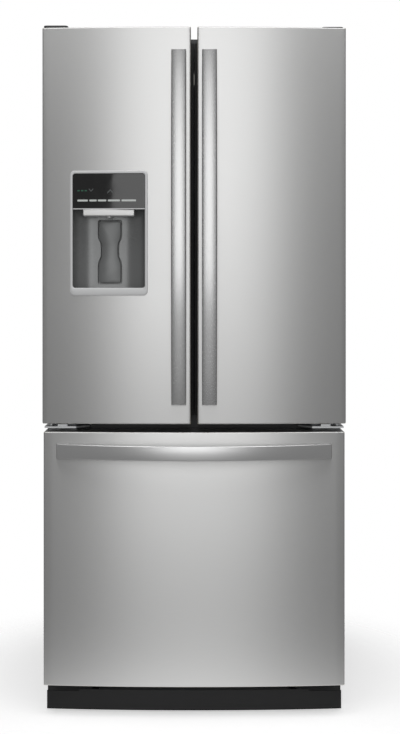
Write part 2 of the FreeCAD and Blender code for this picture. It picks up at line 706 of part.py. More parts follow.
def upper_door_foam():
    x0, x1 = door_gap / 2 + skin, door_half - skin
    z0, z1 = door_bottom + skin, door_top - skin
    export("right_door_foam", without(door_core(x0, x1, z0, z1), *pin_holes(1)))
    blocks = [
        door_core(-x1, -x0, z0, housing_z0),
        door_core(-x1, -x0, housing_z1, z1),
        door_core(-x1, housing_x0, housing_z0, housing_z1),
        door_core(housing_x1, -x0, housing_z0, housing_z1),
        block(housing_x0, housing_x1, housing_back, door_back - inner_panel, housing_z0, housing_z1).cut(well_box()),
    ]
    export("left_door_foam", *[without(shape, *pin_holes(-1)) for shape in blocks])


def bin_rests(heights):
    """Pairs of pads on the ridges that the bins hang on."""
    rests = []
    for z in heights:
        for x in (dike_inner + dike_width, dike_outer - dike_width):
            inward = 5 if x < 180 else -5
            rests.append(block(x, x + inward, door_back + 12, door_back + 40, z - 6, z))
    return rests


bin_depth, bin_height, bin_wall = 108.0, 98.0, 3.0
right_bins, left_bins = (1010.0, 1225.0, 1440.0), (1392.0, 1520.0)


def door_inner_panel(heights):
    """Moulded panel with a raised ridge on four sides, drawn for the right door."""
    x0, x1 = door_gap / 2 + skin, door_half - skin
    plate = block(x0, x1, door_back - inner_panel, door_back, door_bottom + skin, door_top - skin)
    ridge = without(
        block(dike_inner, dike_outer, door_back - 1, door_back + dike_height, dike_low, dike_high),
        block(dike_inner + dike_width, dike_outer - dike_width, door_back - 2, door_back + dike_height + 1,
              dike_low + dike_width, dike_high - dike_width),
    )
    tips = [e for e in ridge.Edges if e.BoundBox.YMin > door_back + dike_height - 0.1]
    return joined(plate, ridge.makeFillet(4.0, tips), *bin_rests(heights))


def upper_door_liners():
    export("right_door_liner", without(door_inner_panel(right_bins), *pin_holes(1)))
    panel = mirrored(door_inner_panel(left_bins))
    lugs = [
        block(flap_pivot_x - 8, flap_pivot_x + 8, door_back - 1, flap_pivot_y + 7, z, z + 11)
        for z in (flap_bottom - 12, flap_top + 1)
    ]
    pivots = [rod(flap_pivot_x, flap_pivot_y, z, flap_pin + running_gap, 14)
              for z in (flap_bottom - 13, flap_top)]
    export("left_door_liner", without(joined(panel, *lugs), *pivots, *pin_holes(-1)))


def gasket(x0, x1, z0, z1, width):
    back = door_back + gasket_depth - gasket_squeeze_gap
    body = ring_box(x0, x1, door_back, back, z0, z1, width)
    groove = ring_box(x0 + 4, x1 - 4, door_back + 3, back - 3, z0 + 4, z1 - 4, width - 8)
    return body.cut(groove)


def gaskets():
    x0 = door_gap / 2 + 2
    z0, z1 = door_bottom + 14, door_top - 24
    lip = block(centre_lip_gap, x0 + 1, door_back, door_back + 3, z0, z1)
    upper = joined(gasket(x0, door_gasket_out, z0, z1, door_gasket_width), lip)
    export("right_door_gasket", upper)
    export("left_door_gasket", mirrored(upper))
    export("drawer_gasket", gasket(-door_gasket_out, door_gasket_out, drawer_bottom + 8, drawer_top - 14,
                                   door_gasket_width))


def door_bin(z):
    """A clear bin hung between the ridges, with a rail across its front."""
    x0, x1 = dike_inner + dike_width + 0.5, dike_outer - dike_width - 0.5
    y0, y1 = door_back + 0.5, door_back + bin_depth
    shell = tray(x0 + 6, x1 - 6, y0, y1, z - 20, z + bin_height - 20, bin_wall, 10)
    tabs = [
        block(x, x + 7, door_back + 14, door_back + 38, z, z + 14)
        for x in (x0, x1 - 7)
    ]
    rail = block(x0 + 6, x1 - 6, y1 - 6, y1, z + bin_height - 26, z + bin_height - 20)
    return joined(shell, *tabs, rail)


def door_bins():
    export("right_door_bins", *[door_bin(z) for z in right_bins])
    export("left_door_bins", *[mirrored(door_bin(z)) for z in left_bins])


# ---------------------------------------------------------------- handles
handle_low, handle_high, handle_x = 777.0, 1660.0, 38.0
foot_length, end_slant, handle_round = 34.0, 3.5, 3.0
bar_half, bar_low = 343.0, 645.0


def bowed_bar(half_length, end_y, middle_y, across, width):
    """A flat bar bowed forwards over its length along X, with solid feet at the ends."""
    t = handle_thickness
    rise = end_y - middle_y
    half = half_length - end_slant
    radius = (half ** 2 + rise ** 2) / (2 * rise)
    centre_y = middle_y + radius
    inner_half_length = half_length - foot_length

    def on_arc(x, r):
        return V(x, centre_y - math.sqrt(r * r - x * x), across)

    back_y = end_y + handle_end_reach
    inner_end = on_arc(inner_half_length, radius - t)
    foot_x = inner_half_length + 4
    left, right = V(-half_length, back_y, across), V(half_length, back_y, across)
    foot_left, foot_right = V(-foot_x, back_y, across), V(foot_x, back_y, across)
    arc_left, arc_right = V(-inner_end.x, inner_end.y, across), inner_end
    corners = [
        (left, on_arc(-half, radius)),
        (on_arc(half, radius), right),
        (right, foot_right),
        (foot_right, arc_right),
        (arc_left, foot_left),
        (foot_left, left),
    ]
    lines = [Part.LineSegment(a, b).toShape() for a, b in corners]
    outer = Part.Arc(on_arc(-half, radius), V(0, middle_y, across), on_arc(half, radius)).toShape()
    inner = Part.Arc(arc_right, V(0, middle_y + t, across), arc_left).toShape()
    wire = Part.Wire([lines[0], outer, lines[1], lines[2], lines[3], inner, lines[4], lines[5]])
    bar = Part.Face(wire).extrude(V(0, 0, width))
    rounded = [e for e in bar.Edges if e.Length > half_length and abs(e.BoundBox.ZMax - e.BoundBox.ZMin) < 0.1]
    return bar.makeFillet(handle_round, rounded)


def handles():
    middle = (handle_low + handle_high) / 2
    surface = contour_y(handle_x)
    bar = bowed_bar((handle_high - handle_low) / 2, surface - handle_end_reach, handle_front,
                    -handle_width / 2, handle_width)
    bar.rotate(V(0, 0, 0), Y, 90)
    bar.translate(V(handle_x, 0, middle))
    behind = contour_prism(handle_x - 40, handle_x + 40, door_back, handle_low - 5, handle_high + 5)
    export("right_door_handle", bar.cut(behind))
    export("left_door_handle", mirrored(bar.cut(behind)))
    level = bowed_bar(bar_half, contour_y(bar_half) - handle_end_reach, handle_front, bar_low, handle_width)
    behind = contour_prism(-bar_half - 5, bar_half + 5, door_back, bar_low - 5, bar_low + handle_width + 5)
    export("drawer_handle", level.cut(behind))


# ---------------------------------------------------------------- water dispenser
nozzle_x0, nozzle_x1, nozzle_z0 = -276.0, -148.0, 1246.0
spout_drop = 4.0
panel_depth = 22.0


def paddle_outline(grow=0.0):
    """The paddle's waisted outline in X and Z, or the same with a gap all round."""
    half, waist = paddle_width / 2 + grow, paddle_waist / 2 + grow
    heights = (paddle_low - grow, 1128.0, 1150.0, 1176.0, 1198.0, paddle_high + grow)
    widths = (half, half, waist, waist, half, half)
    right = [(paddle_x + w, z) for w, z in zip(widths, heights)]
    left = [(paddle_x - w, z) for w, z in zip(widths, heights)]
    return right + left[::-1]


def dispenser_housing():
    body = contour_prism(housing_x0, housing_x1, housing_back, housing_z0, housing_z1)
    ring = contour_plate(dispenser_x0 - dispenser_ring, dispenser_x1 + dispenser_ring, ledge_z0,
                         panel_z1 + dispenser_ring, 2.0, 0.0)
    corners = straight_edges(ring, Y, lambda c: True)
    ring = ring.makeFillet(9.0, corners) if corners else ring
    recess = block(dispenser_x0, dispenser_x1, front - 5, recess_back, dispenser_z0 - 14, recess_top - 2)
    lip = contour_plate(dispenser_x0 - 1, dispenser_x1 + 1, dispenser_z0 - 15, dispenser_z0, 2.0, -3.0)
    window = block(dispenser_x0, dispenser_x1, front - 5, front + panel_depth, panel_z0 - 1, panel_z1)
    well = xz_prism(paddle_outline(paddle_gap), recess_back - 1, well_back)
    bore_half = paddle_width / 2 + paddle_pin_hold + 0.5
    bore = rod(paddle_x - bore_half, paddle_y, paddle_pin_z, paddle_pin + running_gap, 2 * bore_half, X)
    shell = joined(without(joined(body, ring, well_box()), recess, window), lip)
    export("dispenser_housing", without(shell, well, bore))


def dispenser_panel():
    """Glossy control face above the recess, with its shallow electronics box behind."""
    z0, z1 = panel_z0 + 0.5, panel_z1 - 0.5
    plate = contour_plate(dispenser_x0 + 0.5, dispenser_x1 - 0.5, z0, z1, 0.5, -4.0)
    box = block(dispenser_x0 + 12, dispenser_x1 - 12, contour_y(dispenser_x0) + 2, front + panel_depth - 1,
                z0 + 8, z1 - 6)
    export("dispenser_panel", joined(plate, box))


def dispenser_nozzle():
    y0 = contour_y(nozzle_x1) + 1.0
    bar = rounded_block(nozzle_x0, nozzle_x1, y0, y0 + 34, nozzle_z0, recess_top - 2, 3, Y)
    spout = rod(paddle_x, y0 + 20, nozzle_z0 - spout_drop, 8, spout_drop + 2)
    bore = rod(paddle_x, y0 + 20, nozzle_z0 - spout_drop - 1, 5, 14)
    export("dispenser_nozzle", joined(bar, spout).cut(bore))


def dispenser_paddle():
    """Lever behind the glass position, waisted at the middle and hung from two pins."""
    plate = xz_prism(paddle_outline(), paddle_y - paddle_thickness / 2, paddle_y + paddle_thickness / 2)
    ribs = [
        block(paddle_x + x - 1, paddle_x + x + 1, paddle_y, paddle_y + 4, paddle_low + 6, paddle_high - 14)
        for x in (-14, 14)
    ]
    pin_half = paddle_width / 2 + paddle_pin_hold
    pins = rod(paddle_x - pin_half, paddle_y, paddle_pin_z, paddle_pin, 2 * pin_half, X)
    export("dispenser_paddle", joined(plate, *ribs, pins))


def drip_tray():
    x0, x1 = dispenser_x0 + 0.5, dispenser_x1 - 0.5
    y0 = contour_y(dispenser_x0) + 4.0
    plate = block(x0, x1, y0, recess_back - 0.5, dispenser_z0 - 13.5, dispenser_z0 - 4)
    well = block(x0 + 3, x1 - 3, y0 + 3, recess_back - 3.5, dispenser_z0 - 11.5, dispenser_z0 - 6)
    slots = [
        block(x, x + 5, y0 + 7, recess_back - 8, dispenser_z0 - 7, dispenser_z0 - 3)
        for x in range(int(x0) + 9, int(x1) - 10, 12)
    ]
    export("drip_tray", without(plate, well, *slots))


def mullion_flap():
    """Sealing flap on the edge of the left door, drawn folded back into the cabinet."""
    t = flap_thickness
    body = block(flap_pivot_x - t / 2, flap_pivot_x + t / 2, flap_pivot_y - t / 2, flap_pivot_y + flap_width - t / 2,
                 flap_bottom, flap_top)
    body = body.makeFillet(3.0, straight_edges(body, Z))
    pins = rod(flap_pivot_x, flap_pivot_y, flap_bottom - 10, flap_pin, flap_top - flap_bottom + 20)
    export("mullion_flap", joined(body, pins))


# ---------------------------------------------------------------- freezer drawer
rail_z0, rail_z1 = 352.0, 396.0
rail_sheet = 1.5
outer_rail_x, inner_rail_x = 317.0, 303.0
rail_front, outer_rail_back, mid_rail_back, drawer_rail_back = -262.0, 300.0, 235.0, 205.0
lower_front, lower_back, lower_low, lower_high = -268.0, 148.0, 134.0, 392.0
upper_front, upper_back, upper_low, upper_high = -262.0, 196.0, 433.0, 588.0
basket_half = 286.0


def drawer_front():
    half = drawer_width / 2
    export("drawer_skin", door_skin(-half, half, drawer_bottom, drawer_top))
    export("drawer_foam", door_core(-half + skin, half - skin, drawer_bottom + skin, drawer_top - skin))
    plate = block(-half + skin, half - skin, door_back - inner_panel, door_back,
                  drawer_bottom + skin, drawer_top - skin)
    ridge = ring_box(-340, 340, door_back - 1, door_back + 8, drawer_bottom + 28, drawer_top - 34, dike_width)
    export("drawer_liner", joined(plate, ridge))


def channel(web_x, toward, y0, y1):
    """A folded steel channel along Y whose flanges point towards or away from the middle."""
    t = rail_sheet
    reach = 9.5 * toward
    web = block(web_x, web_x + t * toward, y0, y1, rail_z0, rail_z1)
    flanges = [block(web_x, web_x + reach, y0, y1, z, z + t) for z in (rail_z0, rail_z1 - t)]
    return joined(web, *flanges)


def freezer_rails():
    fixed = channel(inner_half, -1, rail_front + 8, outer_rail_back)
    export("freezer_outer_rails", *both_sides(fixed))
    t = 2.0
    x0, x1 = inner_rail_x + 2.5, inner_half - 2.5
    z0, z1 = rail_z0 + 3, rail_z1 - 3
    y0, y1 = rail_front + 8, mid_rail_back
    middle = (x0 + x1) / 2
    web = block(middle - t / 2, middle + t / 2, y0, y1, z0, z1)
    flanges = [block(x0, x1, y0, y1, z, z + t) for z in (z0, z1 - t)]
    export("freezer_mid_rails", *both_sides(joined(web, *flanges)))


def drawer_rails():
    """Inner slide members with the side plates that carry both baskets."""
    t = rail_sheet
    y0, y1 = door_back, drawer_rail_back
    slide = channel(inner_rail_x, 1, y0, y1)
    plate = block(inner_rail_x - t, inner_rail_x, y0, y1, rail_z0, 446)
    upper = block(inner_rail_x - 15, inner_rail_x, y0, y1, 428, 431)
    lower = block(inner_rail_x - 15, inner_rail_x, y0, y1, rail_z0, rail_z0 + 2)
    foot = block(inner_rail_x - 40, inner_rail_x, y0, y0 + 3, rail_z0 - 30, 446)
    export("drawer_rails", *both_sides(joined(slide, plate, upper, lower, foot)))


def baskets():
    """Deep basket hung on the drawer's side plates, and a sliding one above it."""
    deep = tray(-basket_half, basket_half, lower_front, lower_back, lower_low, rail_z0 + 4, 3.0, 16)
    deep_lips = [
        block(side * (basket_half - 1), side * (basket_half + 13), lower_front + 16, lower_back - 16,
              rail_z0 + 2.2, rail_z0 + 5.2)
        for side in (-1, 1)
    ]
    export("lower_basket", joined(deep, *deep_lips))
    half = basket_half - 3
    shallow = tray(-half, half, upper_front, upper_back, upper_low, upper_high, 3.0, 16)
    runners = [
        block(side * (half - 1), side * (half + 14), upper_front + 16, upper_back - 16, 431.3, 434.3)
        for side in (-1, 1)
    ]
    base = block(-half + 20, half - 20, upper_front + 16, upper_back - 16, 431.3, upper_low + 0.1)
    export("upper_basket", joined(shallow, *runners, base))


# ---------------------------------------------------------------- build everything
os.makedirs("parts", exist_ok=True)
cabinet_panels()
insulation_foam()
fresh_food_liner()
freezer_liner()
base_frame()
levelling_legs()
rear_rollers()
base_grille()
machine_cover()
compressor()
condenser_coil()
drain_pan()
fan_shroud()
condenser_fan()
water_valve()
power_inlet()
evaporator_cover()
evaporator_coil()
air_tower()
ceiling_light()
shelf_tracks()
shelf_frames()
shelf_glass()
crispers()
ice_maker()
top_hinges()
hinge_covers()
centre_hinges()
upper_door_skins()
upper_door_foam()
upper_door_liners()
gaskets()
door_bins()
handles()
dispenser_housing()
dispenser_panel()
dispenser_nozzle()
dispenser_paddle()
drip_tray()
mullion_flap()
drawer_front()
freezer_rails()
drawer_rails()
baskets()
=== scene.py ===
import math

import bmesh
import bpy
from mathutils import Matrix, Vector


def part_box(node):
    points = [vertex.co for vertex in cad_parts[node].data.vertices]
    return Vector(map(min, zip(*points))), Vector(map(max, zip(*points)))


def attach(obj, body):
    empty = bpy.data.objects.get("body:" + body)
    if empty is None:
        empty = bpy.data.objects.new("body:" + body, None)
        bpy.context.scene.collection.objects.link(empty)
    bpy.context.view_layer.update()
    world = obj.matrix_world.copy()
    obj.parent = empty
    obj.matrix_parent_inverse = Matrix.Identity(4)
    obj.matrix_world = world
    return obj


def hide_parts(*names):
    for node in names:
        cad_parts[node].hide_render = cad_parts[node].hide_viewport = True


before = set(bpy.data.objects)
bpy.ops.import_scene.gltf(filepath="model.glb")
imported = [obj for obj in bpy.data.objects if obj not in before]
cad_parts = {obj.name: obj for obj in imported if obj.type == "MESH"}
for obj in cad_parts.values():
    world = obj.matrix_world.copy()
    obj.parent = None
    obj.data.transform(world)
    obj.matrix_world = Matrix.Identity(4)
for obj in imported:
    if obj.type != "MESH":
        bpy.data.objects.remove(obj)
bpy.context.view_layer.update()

# ------------------------------------------------------------------ cabinet case
# The outer case is painted sheet steel: one sheet folded over both sides and the top, a bottom sheet, a front
# frame with two openings, and a back panel with pressed stiffening fields, screwed on round its edge.


class Wire:
    """A value in a node tree; arithmetic on it adds Math nodes."""

    def __init__(self, graph, socket):
        self.graph, self.socket = graph, socket

    def math(self, operation, *values):
        return self.graph.node("ShaderNodeMath", dict(enumerate(values)), operation=operation)

    def __add__(self, other):
        return self.math("ADD", self, other)

    def __sub__(self, other):
        return self.math("SUBTRACT", self, other)

    def __mul__(self, other):
        return self.math("MULTIPLY", self, other)

    __radd__ = __add__


class Graph:
    """A node tree that is written as expressions."""

    def __init__(self, tree):
        self.nodes, self.links = tree.nodes, tree.links

    def node(self, kind, inputs=None, out=0, **settings):
        """A node with its settings made first, then its inputs, as one Wire."""
        node = self.nodes.new(kind)
        for setting, value in settings.items():
            setattr(node, setting, value)
        for socket, value in (inputs or {}).items():
            several = isinstance(value, list) and isinstance(value[0], Wire)
            for item in value if several else [value]:
                if isinstance(item, Wire):
                    self.links.new(item.socket, node.inputs[socket])
                else:
                    node.inputs[socket].default_value = item
        return Wire(self, node.outputs[out]) if node.outputs else None


class Finish(Graph):
    """One material. Sockets that don't vary are set by name; feed() links what does."""

    def __init__(self, name, **constants):
        self.material = bpy.data.materials.new(name)
        self.material.use_nodes = True
        super().__init__(self.material.node_tree)
        self.shader = self.nodes["Principled BSDF"]
        for socket, value in constants.items():
            self.shader.inputs[socket.replace("_", " ")].default_value = value

    def place(self, stretch=(1.0, 1.0, 1.0)):
        """Where a point is on the object, in metres, scaled along each axis."""
        return self.node("ShaderNodeMapping", {"Vector": self.node("ShaderNodeTexCoord", out="Object"),
                                               "Scale": stretch})

    def noise(self, scale, detail=3.0, stretch=(1.0, 1.0, 1.0)):
        """Cloudy values about one half."""
        return self.node("ShaderNodeTexNoise",
                         {"Vector": self.place(stretch), "Scale": scale, "Detail": detail})

    def blend(self, factor, low, high):
        """A colour between two, by a factor."""
        return self.node("ShaderNodeMix", {0: factor, 6: (*low, 1.0), 7: (*high, 1.0)}, out=2,
                         data_type="RGBA")

    def feed(self, **wires):
        for socket, wire in wires.items():
            self.links.new(wire.socket, self.shader.inputs[socket.replace("_", " ")])
        return self

    def relief(self, height, distance, strength=1.0):
        """Raises the surface by height times a distance in metres."""
        return self.feed(Normal=self.node("ShaderNodeBump",
                                          {"Height": height, "Distance": distance, "Strength": strength}))


class Pattern(Graph):
    """A geometry node tree with named inputs; made() turns it into a plain mesh."""

    def __init__(self, name, **inputs):
        self.tree = bpy.data.node_groups.new(name, "GeometryNodeTree")
        super().__init__(self.tree)
        sockets = self.tree.interface
        sockets.new_socket("Host", in_out="INPUT", socket_type="NodeSocketGeometry")
        sockets.new_socket("Mesh", in_out="OUTPUT", socket_type="NodeSocketGeometry")
        self.identifiers = {}
        for label, start in inputs.items():
            kind = {int: "NodeSocketInt", float: "NodeSocketFloat", tuple: "NodeSocketVector"}[type(start)]
            socket = sockets.new_socket(label, in_out="INPUT", socket_type=kind)
            socket.default_value = start
            self.identifiers[label] = socket.identifier
        self.entry = self.nodes.new("NodeGroupInput")

    def given(self, label):
        return Wire(self, self.entry.outputs[label])

    def vector(self, x, y, z):
        return self.node("ShaderNodeCombineXYZ", {0: x, 1: y, 2: z})

    def transformed(self, geometry, **inputs):
        """The geometry with a Translation, Rotation or Scale."""
        return self.node("GeometryNodeTransform", {"Geometry": geometry, **inputs})

    def rounded_outline(self, width, height, radius, count):
        """A level rectangular curve with rounded corners."""
        curve = self.node("GeometryNodeCurvePrimitiveQuadrilateral", {"Width": width, "Height": height},
                          mode="RECTANGLE")
        return self.node("GeometryNodeFilletCurve", {"Curve": curve, "Radius": radius, "Count": count,
                                                     "Limit Radius": True}, mode="POLY")

    def close(self, geometry, finish):
        """Ends the tree with real instances that have their material."""
        real = self.node("GeometryNodeRealizeInstances", {"Geometry": geometry})
        ready = self.node("GeometryNodeSetMaterial", {"Geometry": real, "Material": finish.material})
        self.links.new(ready.socket, self.nodes.new("NodeGroupOutput").inputs[0])
        return self

    def made(self, name, host=None, **values):
        holder = bpy.data.objects.new(name, host or bpy.data.meshes.new(name))
        bpy.context.collection.objects.link(holder)
        modifier = holder.modifiers.new(name, "NODES")
        modifier.node_group = self.tree
        for label, value in values.items():
            modifier[self.identifiers[label]] = value
        bpy.context.view_layer.update()
        evaluated = holder.evaluated_get(bpy.context.evaluated_depsgraph_get())
        mesh = bpy.data.meshes.new_from_object(evaluated)
        bpy.data.objects.remove(holder)
        return mesh


def paint(name, colour, pebble, roughness=0.45, metallic=0.0, depth=0.00004, spread=0.12, **constants):
    """A coloured coat or moulded skin whose texture is pebble bumps per metre."""
    finish = Finish(name, Metallic=metallic, **constants)
    cloud = finish.noise(6.0, 4.0)
    grain = finish.noise(pebble, 2.0)
    darker = tuple(c * (1 - spread) for c in colour)
    lighter = tuple(min(c * (1 + spread), 1.0) for c in colour)
    finish.feed(
        Base_Color=finish.blend(cloud * 0.7 + grain * 0.3, darker, lighter),
        Roughness=cloud * 0.16 + grain * 0.10 + (roughness - 0.13),
    )
    return finish.relief(grain, depth)


def dress(finish, *nodes):
    """Gives CAD nodes their finish."""
    for node in nodes:
        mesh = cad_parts[node].data
        mesh.materials.clear()
        mesh.materials.append(finish.material)


def grid_mesh(name, rows, skip=lambda row, column: False, caps=(), ring=False):
    """A sheet through rows of points; a ring joins each row's ends, and a cap is one face over a row."""
    built = bmesh.new()
    verts = [[built.verts.new(point) for point in row] for row in rows]
    for r in range(len(rows) - 1):
        for c in range(len(rows[0]) - (0 if ring else 1)):
            if not skip(r, c):
                n = (c + 1) % len(rows[0])
                built.faces.new((verts[r][c], verts[r][n], verts[r + 1][n], verts[r + 1][c]))
    for row, turned in caps:
        built.faces.new(verts[row][::-1] if turned else verts[row])
    loose = [v for v in built.verts if not v.link_faces]
    bmesh.ops.delete(built, geom=loose, context="VERTS")
    bmesh.ops.dissolve_degenerate(built, edges=built.edges, dist=1e-7)
    mesh = bpy.data.meshes.new(name)
    built.to_mesh(mesh)
    built.free()
    return mesh


def loft(name, rows):
    """A solid through rings of points, with one face over each end."""
    return grid_mesh(name, rows, caps=((0, True), (len(rows) - 1, False)), ring=True)


def merged(name, *meshes):
    """Several closed shells as one mesh."""
    built = bmesh.new()
    for mesh in meshes:
        built.from_mesh(mesh)
    whole = bpy.data.meshes.new(name)
    built.to_mesh(whole)
    built.free()
    return whole


def place_piece(name, mesh, finish, body, stands_for=(), crease=35.0, modifiers=()):
    """Puts a finished mesh on its body; modifiers are (kind, settings) pairs, applied at once."""
    piece = bpy.data.objects.new(name, mesh)
    bpy.context.collection.objects.link(piece)
    for kind, settings in modifiers:
        modifier = piece.modifiers.new(kind.title(), kind)
        for setting, value in settings.items():
            setattr(modifier, setting, value)
    if modifiers:
        bpy.context.view_layer.update()
        evaluated = piece.evaluated_get(bpy.context.evaluated_depsgraph_get())
        piece.data = bpy.data.meshes.new_from_object(evaluated)
        piece.modifiers.clear()
    piece.data.materials.clear()
    piece.data.materials.append(finish.material)
    piece.data.polygons.foreach_set("use_smooth", [True] * len(piece.data.polygons))
    piece.data.set_sharp_from_angle(angle=math.radians(crease))
    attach(piece, body)
    if stands_for:
        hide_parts(*stands_for)
    return piece


CASE_HALF, CASE_TOP, CASE_BOTTOM = 0.375, 1.705, 0.030
CASE_FRONT, CASE_BACK = -0.267, 0.423
SHEET = 0.001
TOP_ROUND, FOLD = 0.003, 0.0015      # outside radii: side to top, and the turned front edge
OPENING_HALF = 0.327


def case_profile(inset):
    """The inverted U of the case seen from the front, shrunk evenly."""
    half, top = CASE_HALF - inset, CASE_TOP - inset
    radius = TOP_ROUND - inset
    turns = [math.pi / 12 * step for step in range(7)]
    corner = [(radius * math.cos(a), radius * math.sin(a)) for a in turns]
    left = [(-half + radius - x, top - radius + z) for x, z in corner]
    right = [(half - radius + x, top - radius + z) for x, z in reversed(corner)]
    return [(-half, CASE_BOTTOM)] + left + right + [(half, CASE_BOTTOM)]


case_paint = paint("dark_case_paint", (0.052, 0.053, 0.056), 1400.0, roughness=0.5)
turns = [math.radians(18 * step) for step in range(6)]
rows = [[(x, CASE_FRONT + FOLD * (1 - math.sin(a)), z) for x, z in case_profile(FOLD * (1 - math.cos(a)))]
        for a in reversed(turns)]
rows.append([(x, CASE_BACK, z) for x, z in case_profile(0.0)])
inward_sheet = ("SOLIDIFY", {"thickness": SHEET, "offset": -1.0})
place_piece("case_wrap", grid_mesh("case_wrap", rows), case_paint, "cabinet", ["cabinet_panels"],
            modifiers=[inward_sheet])

frame_x = (-CASE_HALF + FOLD, -OPENING_HALF, OPENING_HALF, CASE_HALF - FOLD)
frame_z = (0.065, 0.125, 0.690, 0.755, 1.650, CASE_TOP - FOLD)
rows = [[(x, CASE_FRONT, z) for x in frame_x] for z in frame_z]
place_piece("front_frame", grid_mesh("front_frame", rows, lambda row, column: column == 1 and row in (1, 3)),
            case_paint, "cabinet",
            modifiers=[inward_sheet, ("BEVEL", {"width": 0.0003, "segments": 2})])

THIN_SHEET = 0.0006
BOTTOM_BACK, BOTTOM_Z = 0.180, 0.0645
rows = [[(x, y, BOTTOM_Z) for x in (CASE_HALF - SHEET, 0.0, SHEET - CASE_HALF)]
        for y in (CASE_FRONT + SHEET, BOTTOM_BACK)]
place_piece("bottom_panel", grid_mesh("bottom_panel", rows), case_paint, "cabinet",
            modifiers=[("SOLIDIFY", {"thickness": THIN_SHEET, "offset": 0.0})])

BACK_BASE, BACK_INSET = 0.4221, 0.0012
FIELD_RAISE, FIELD_SLOPE = 0.0008, 0.005
back_half, back_low, back_high = CASE_HALF - BACK_INSET, 0.290, CASE_TOP - BACK_INSET
field_columns = [(-0.335, -0.020), (0.020, 0.335)]
field_heights = [(0.340, 0.760), (0.800, 1.220), (1.260, 1.660)]


def shoulders(spans, low, high):
    """Lines across a panel at the feet and tops of its raised fields, each with its height."""
    lines = [(low, 0.0)]
    for start, end in spans:
        lines += [(start, 0.0), (start + FIELD_SLOPE, 1.0), (end - FIELD_SLOPE, 1.0), (end, 0.0)]
    return lines + [(high, 0.0)]


rows = [[(x, BACK_BASE + FIELD_RAISE * min(across, up), z)
         for x, across in reversed(shoulders(field_columns, -back_half, back_half))]
        for z, up in shoulders(field_heights, back_low, back_high)]
place_piece("back_panel", grid_mesh("back_panel", rows), case_paint, "cabinet",
            crease=20.0, modifiers=[("SOLIDIFY", {"thickness": THIN_SHEET, "offset": -1.0})])

# ------------------------------------------------------------------ screws
# Zinc-plated pan-head screws with a cross recess hold the back panel, the machine cover and the hinge plates.
# The heads on the back panel are set in dimples, so they stand under a millimetre proud.


def plated(name, colour, roughness):
    """Zinc plate: bright metal with cloudy patches and fine rolling lines."""
    finish = Finish(name, Metallic=1.0)
    patch = finish.node("ShaderNodeTexVoronoi", {"Vector": finish.place(), "Scale": 90.0}, feature="F1")
    lines = finish.noise(500.0, 2.0, (1.0, 0.04, 1.0))
    low = tuple(c * 0.86 for c in colour)
    finish.feed(Base_Color=finish.blend(patch * 0.8 + lines * 0.3, low, colour),
                Roughness=lines * 0.14 + patch * 0.1 + (roughness - 0.1))
    return finish.relief(lines, 0.00002)


zinc = plated("zinc_plate", (0.70, 0.71, 0.72), 0.34)
heads = Pattern("screw_heads", Radius=0.004, Height=0.0018, Facing=(0.0, 1.0, 0.0))
radius, height = heads.given("Radius"), heads.given("Height")
head = heads.node("GeometryNodeMeshCone", {"Vertices": 20, "Side Segments": 1, "Radius Bottom": radius,
                                           "Radius Top": radius * 0.72, "Depth": height})
cut = head
for long, wide, deep in ((1.1, 0.22, 1.0), (0.22, 1.1, 0.9)):
    size = heads.vector(radius * long, radius * wide, height * deep)
    slot = heads.node("GeometryNodeMeshCube", {"Size": size})
    slot = heads.transformed(slot, Translation=heads.vector(0.0, 0.0, height))
    cut = heads.node("GeometryNodeMeshBoolean", {"Mesh 1": cut, "Mesh 2": slot}, operation="DIFFERENCE")
turned = heads.node("FunctionNodeAlignRotationToVector", {"Vector": heads.given("Facing")}, axis="Z")
points = heads.node("GeometryNodeMeshToPoints", {"Mesh": Wire(heads, heads.entry.outputs["Host"])})
driven = heads.node("GeometryNodeInstanceOnPoints", {"Points": points, "Instance": cut, "Rotation": turned})
heads.close(driven, zinc)


def drive_screws(name, places, body, slot, **sizes):
    """One screw head at each place."""
    host = bpy.data.meshes.new(name + "_places")
    host.from_pydata(places, [], [])
    place_piece(name, heads.made(name, host, **sizes), zinc, body)


SCREW_X, SCREW_Z, SCREW_PITCH = 0.362, 0.330, 0.2175
TOP_SCREW_PITCH, TOP_SCREW_Z = 0.18, 1.690
edge_screws = [(side * SCREW_X, BACK_BASE, SCREW_Z + SCREW_PITCH * step)
               for side in (-1, 1) for step in range(7)]
edge_screws += [(TOP_SCREW_PITCH * step, BACK_BASE, TOP_SCREW_Z) for step in (-1, 0, 1)]
drive_screws("back_screws", edge_screws, "cabinet", "cabinet_panels", Height=0.0008)

# ------------------------------------------------------------------ base: frame, legs, rollers and grille
# A pressed steel frame under the case carries two threaded front feet and two nylon rear rollers. A plain
# curved black moulding, its top edge lower at both ends, clips to its front and lets air in underneath.

frame_paint = paint("black_frame_paint", (0.02, 0.02, 0.021), 900.0, roughness=0.42)
dress(frame_paint, "base_frame")
black_moulding = paint("black_moulding", (0.007, 0.007, 0.0075), 2200.0, roughness=0.5, depth=0.00003,
                       Specular_IOR_Level=0.3)
dress(black_moulding, "base_grille", "rear_roller_left", "rear_roller_right", "fan_shroud", "drain_pan",
      "power_inlet")
foot_moulding = paint("foot_moulding", (0.03, 0.03, 0.031), 1700.0, roughness=0.6)
dress(foot_moulding, "levelling_leg_left", "levelling_leg_right")

# ------------------------------------------------------------------ machine compartment
# Behind a pierced cover at the bottom of the back are the compressor in its black enamelled shell, the wound
# condenser tube, a fan in a moulded shroud, the water valve and the mains socket.

cover_paint = paint("machine_cover_paint", (0.11, 0.112, 0.115), 1100.0, roughness=0.48)
dress(cover_paint, "machine_cover")
enamel = paint("black_enamel", (0.01, 0.01, 0.01), 260.0, roughness=0.22, depth=0.00005)
dress(enamel, "compressor", "condenser_coil")
natural_moulding = paint("natural_moulding", (0.62, 0.60, 0.54), 1800.0, roughness=0.4)
dress(natural_moulding, "condenser_fan", "water_valve", "ice_maker")

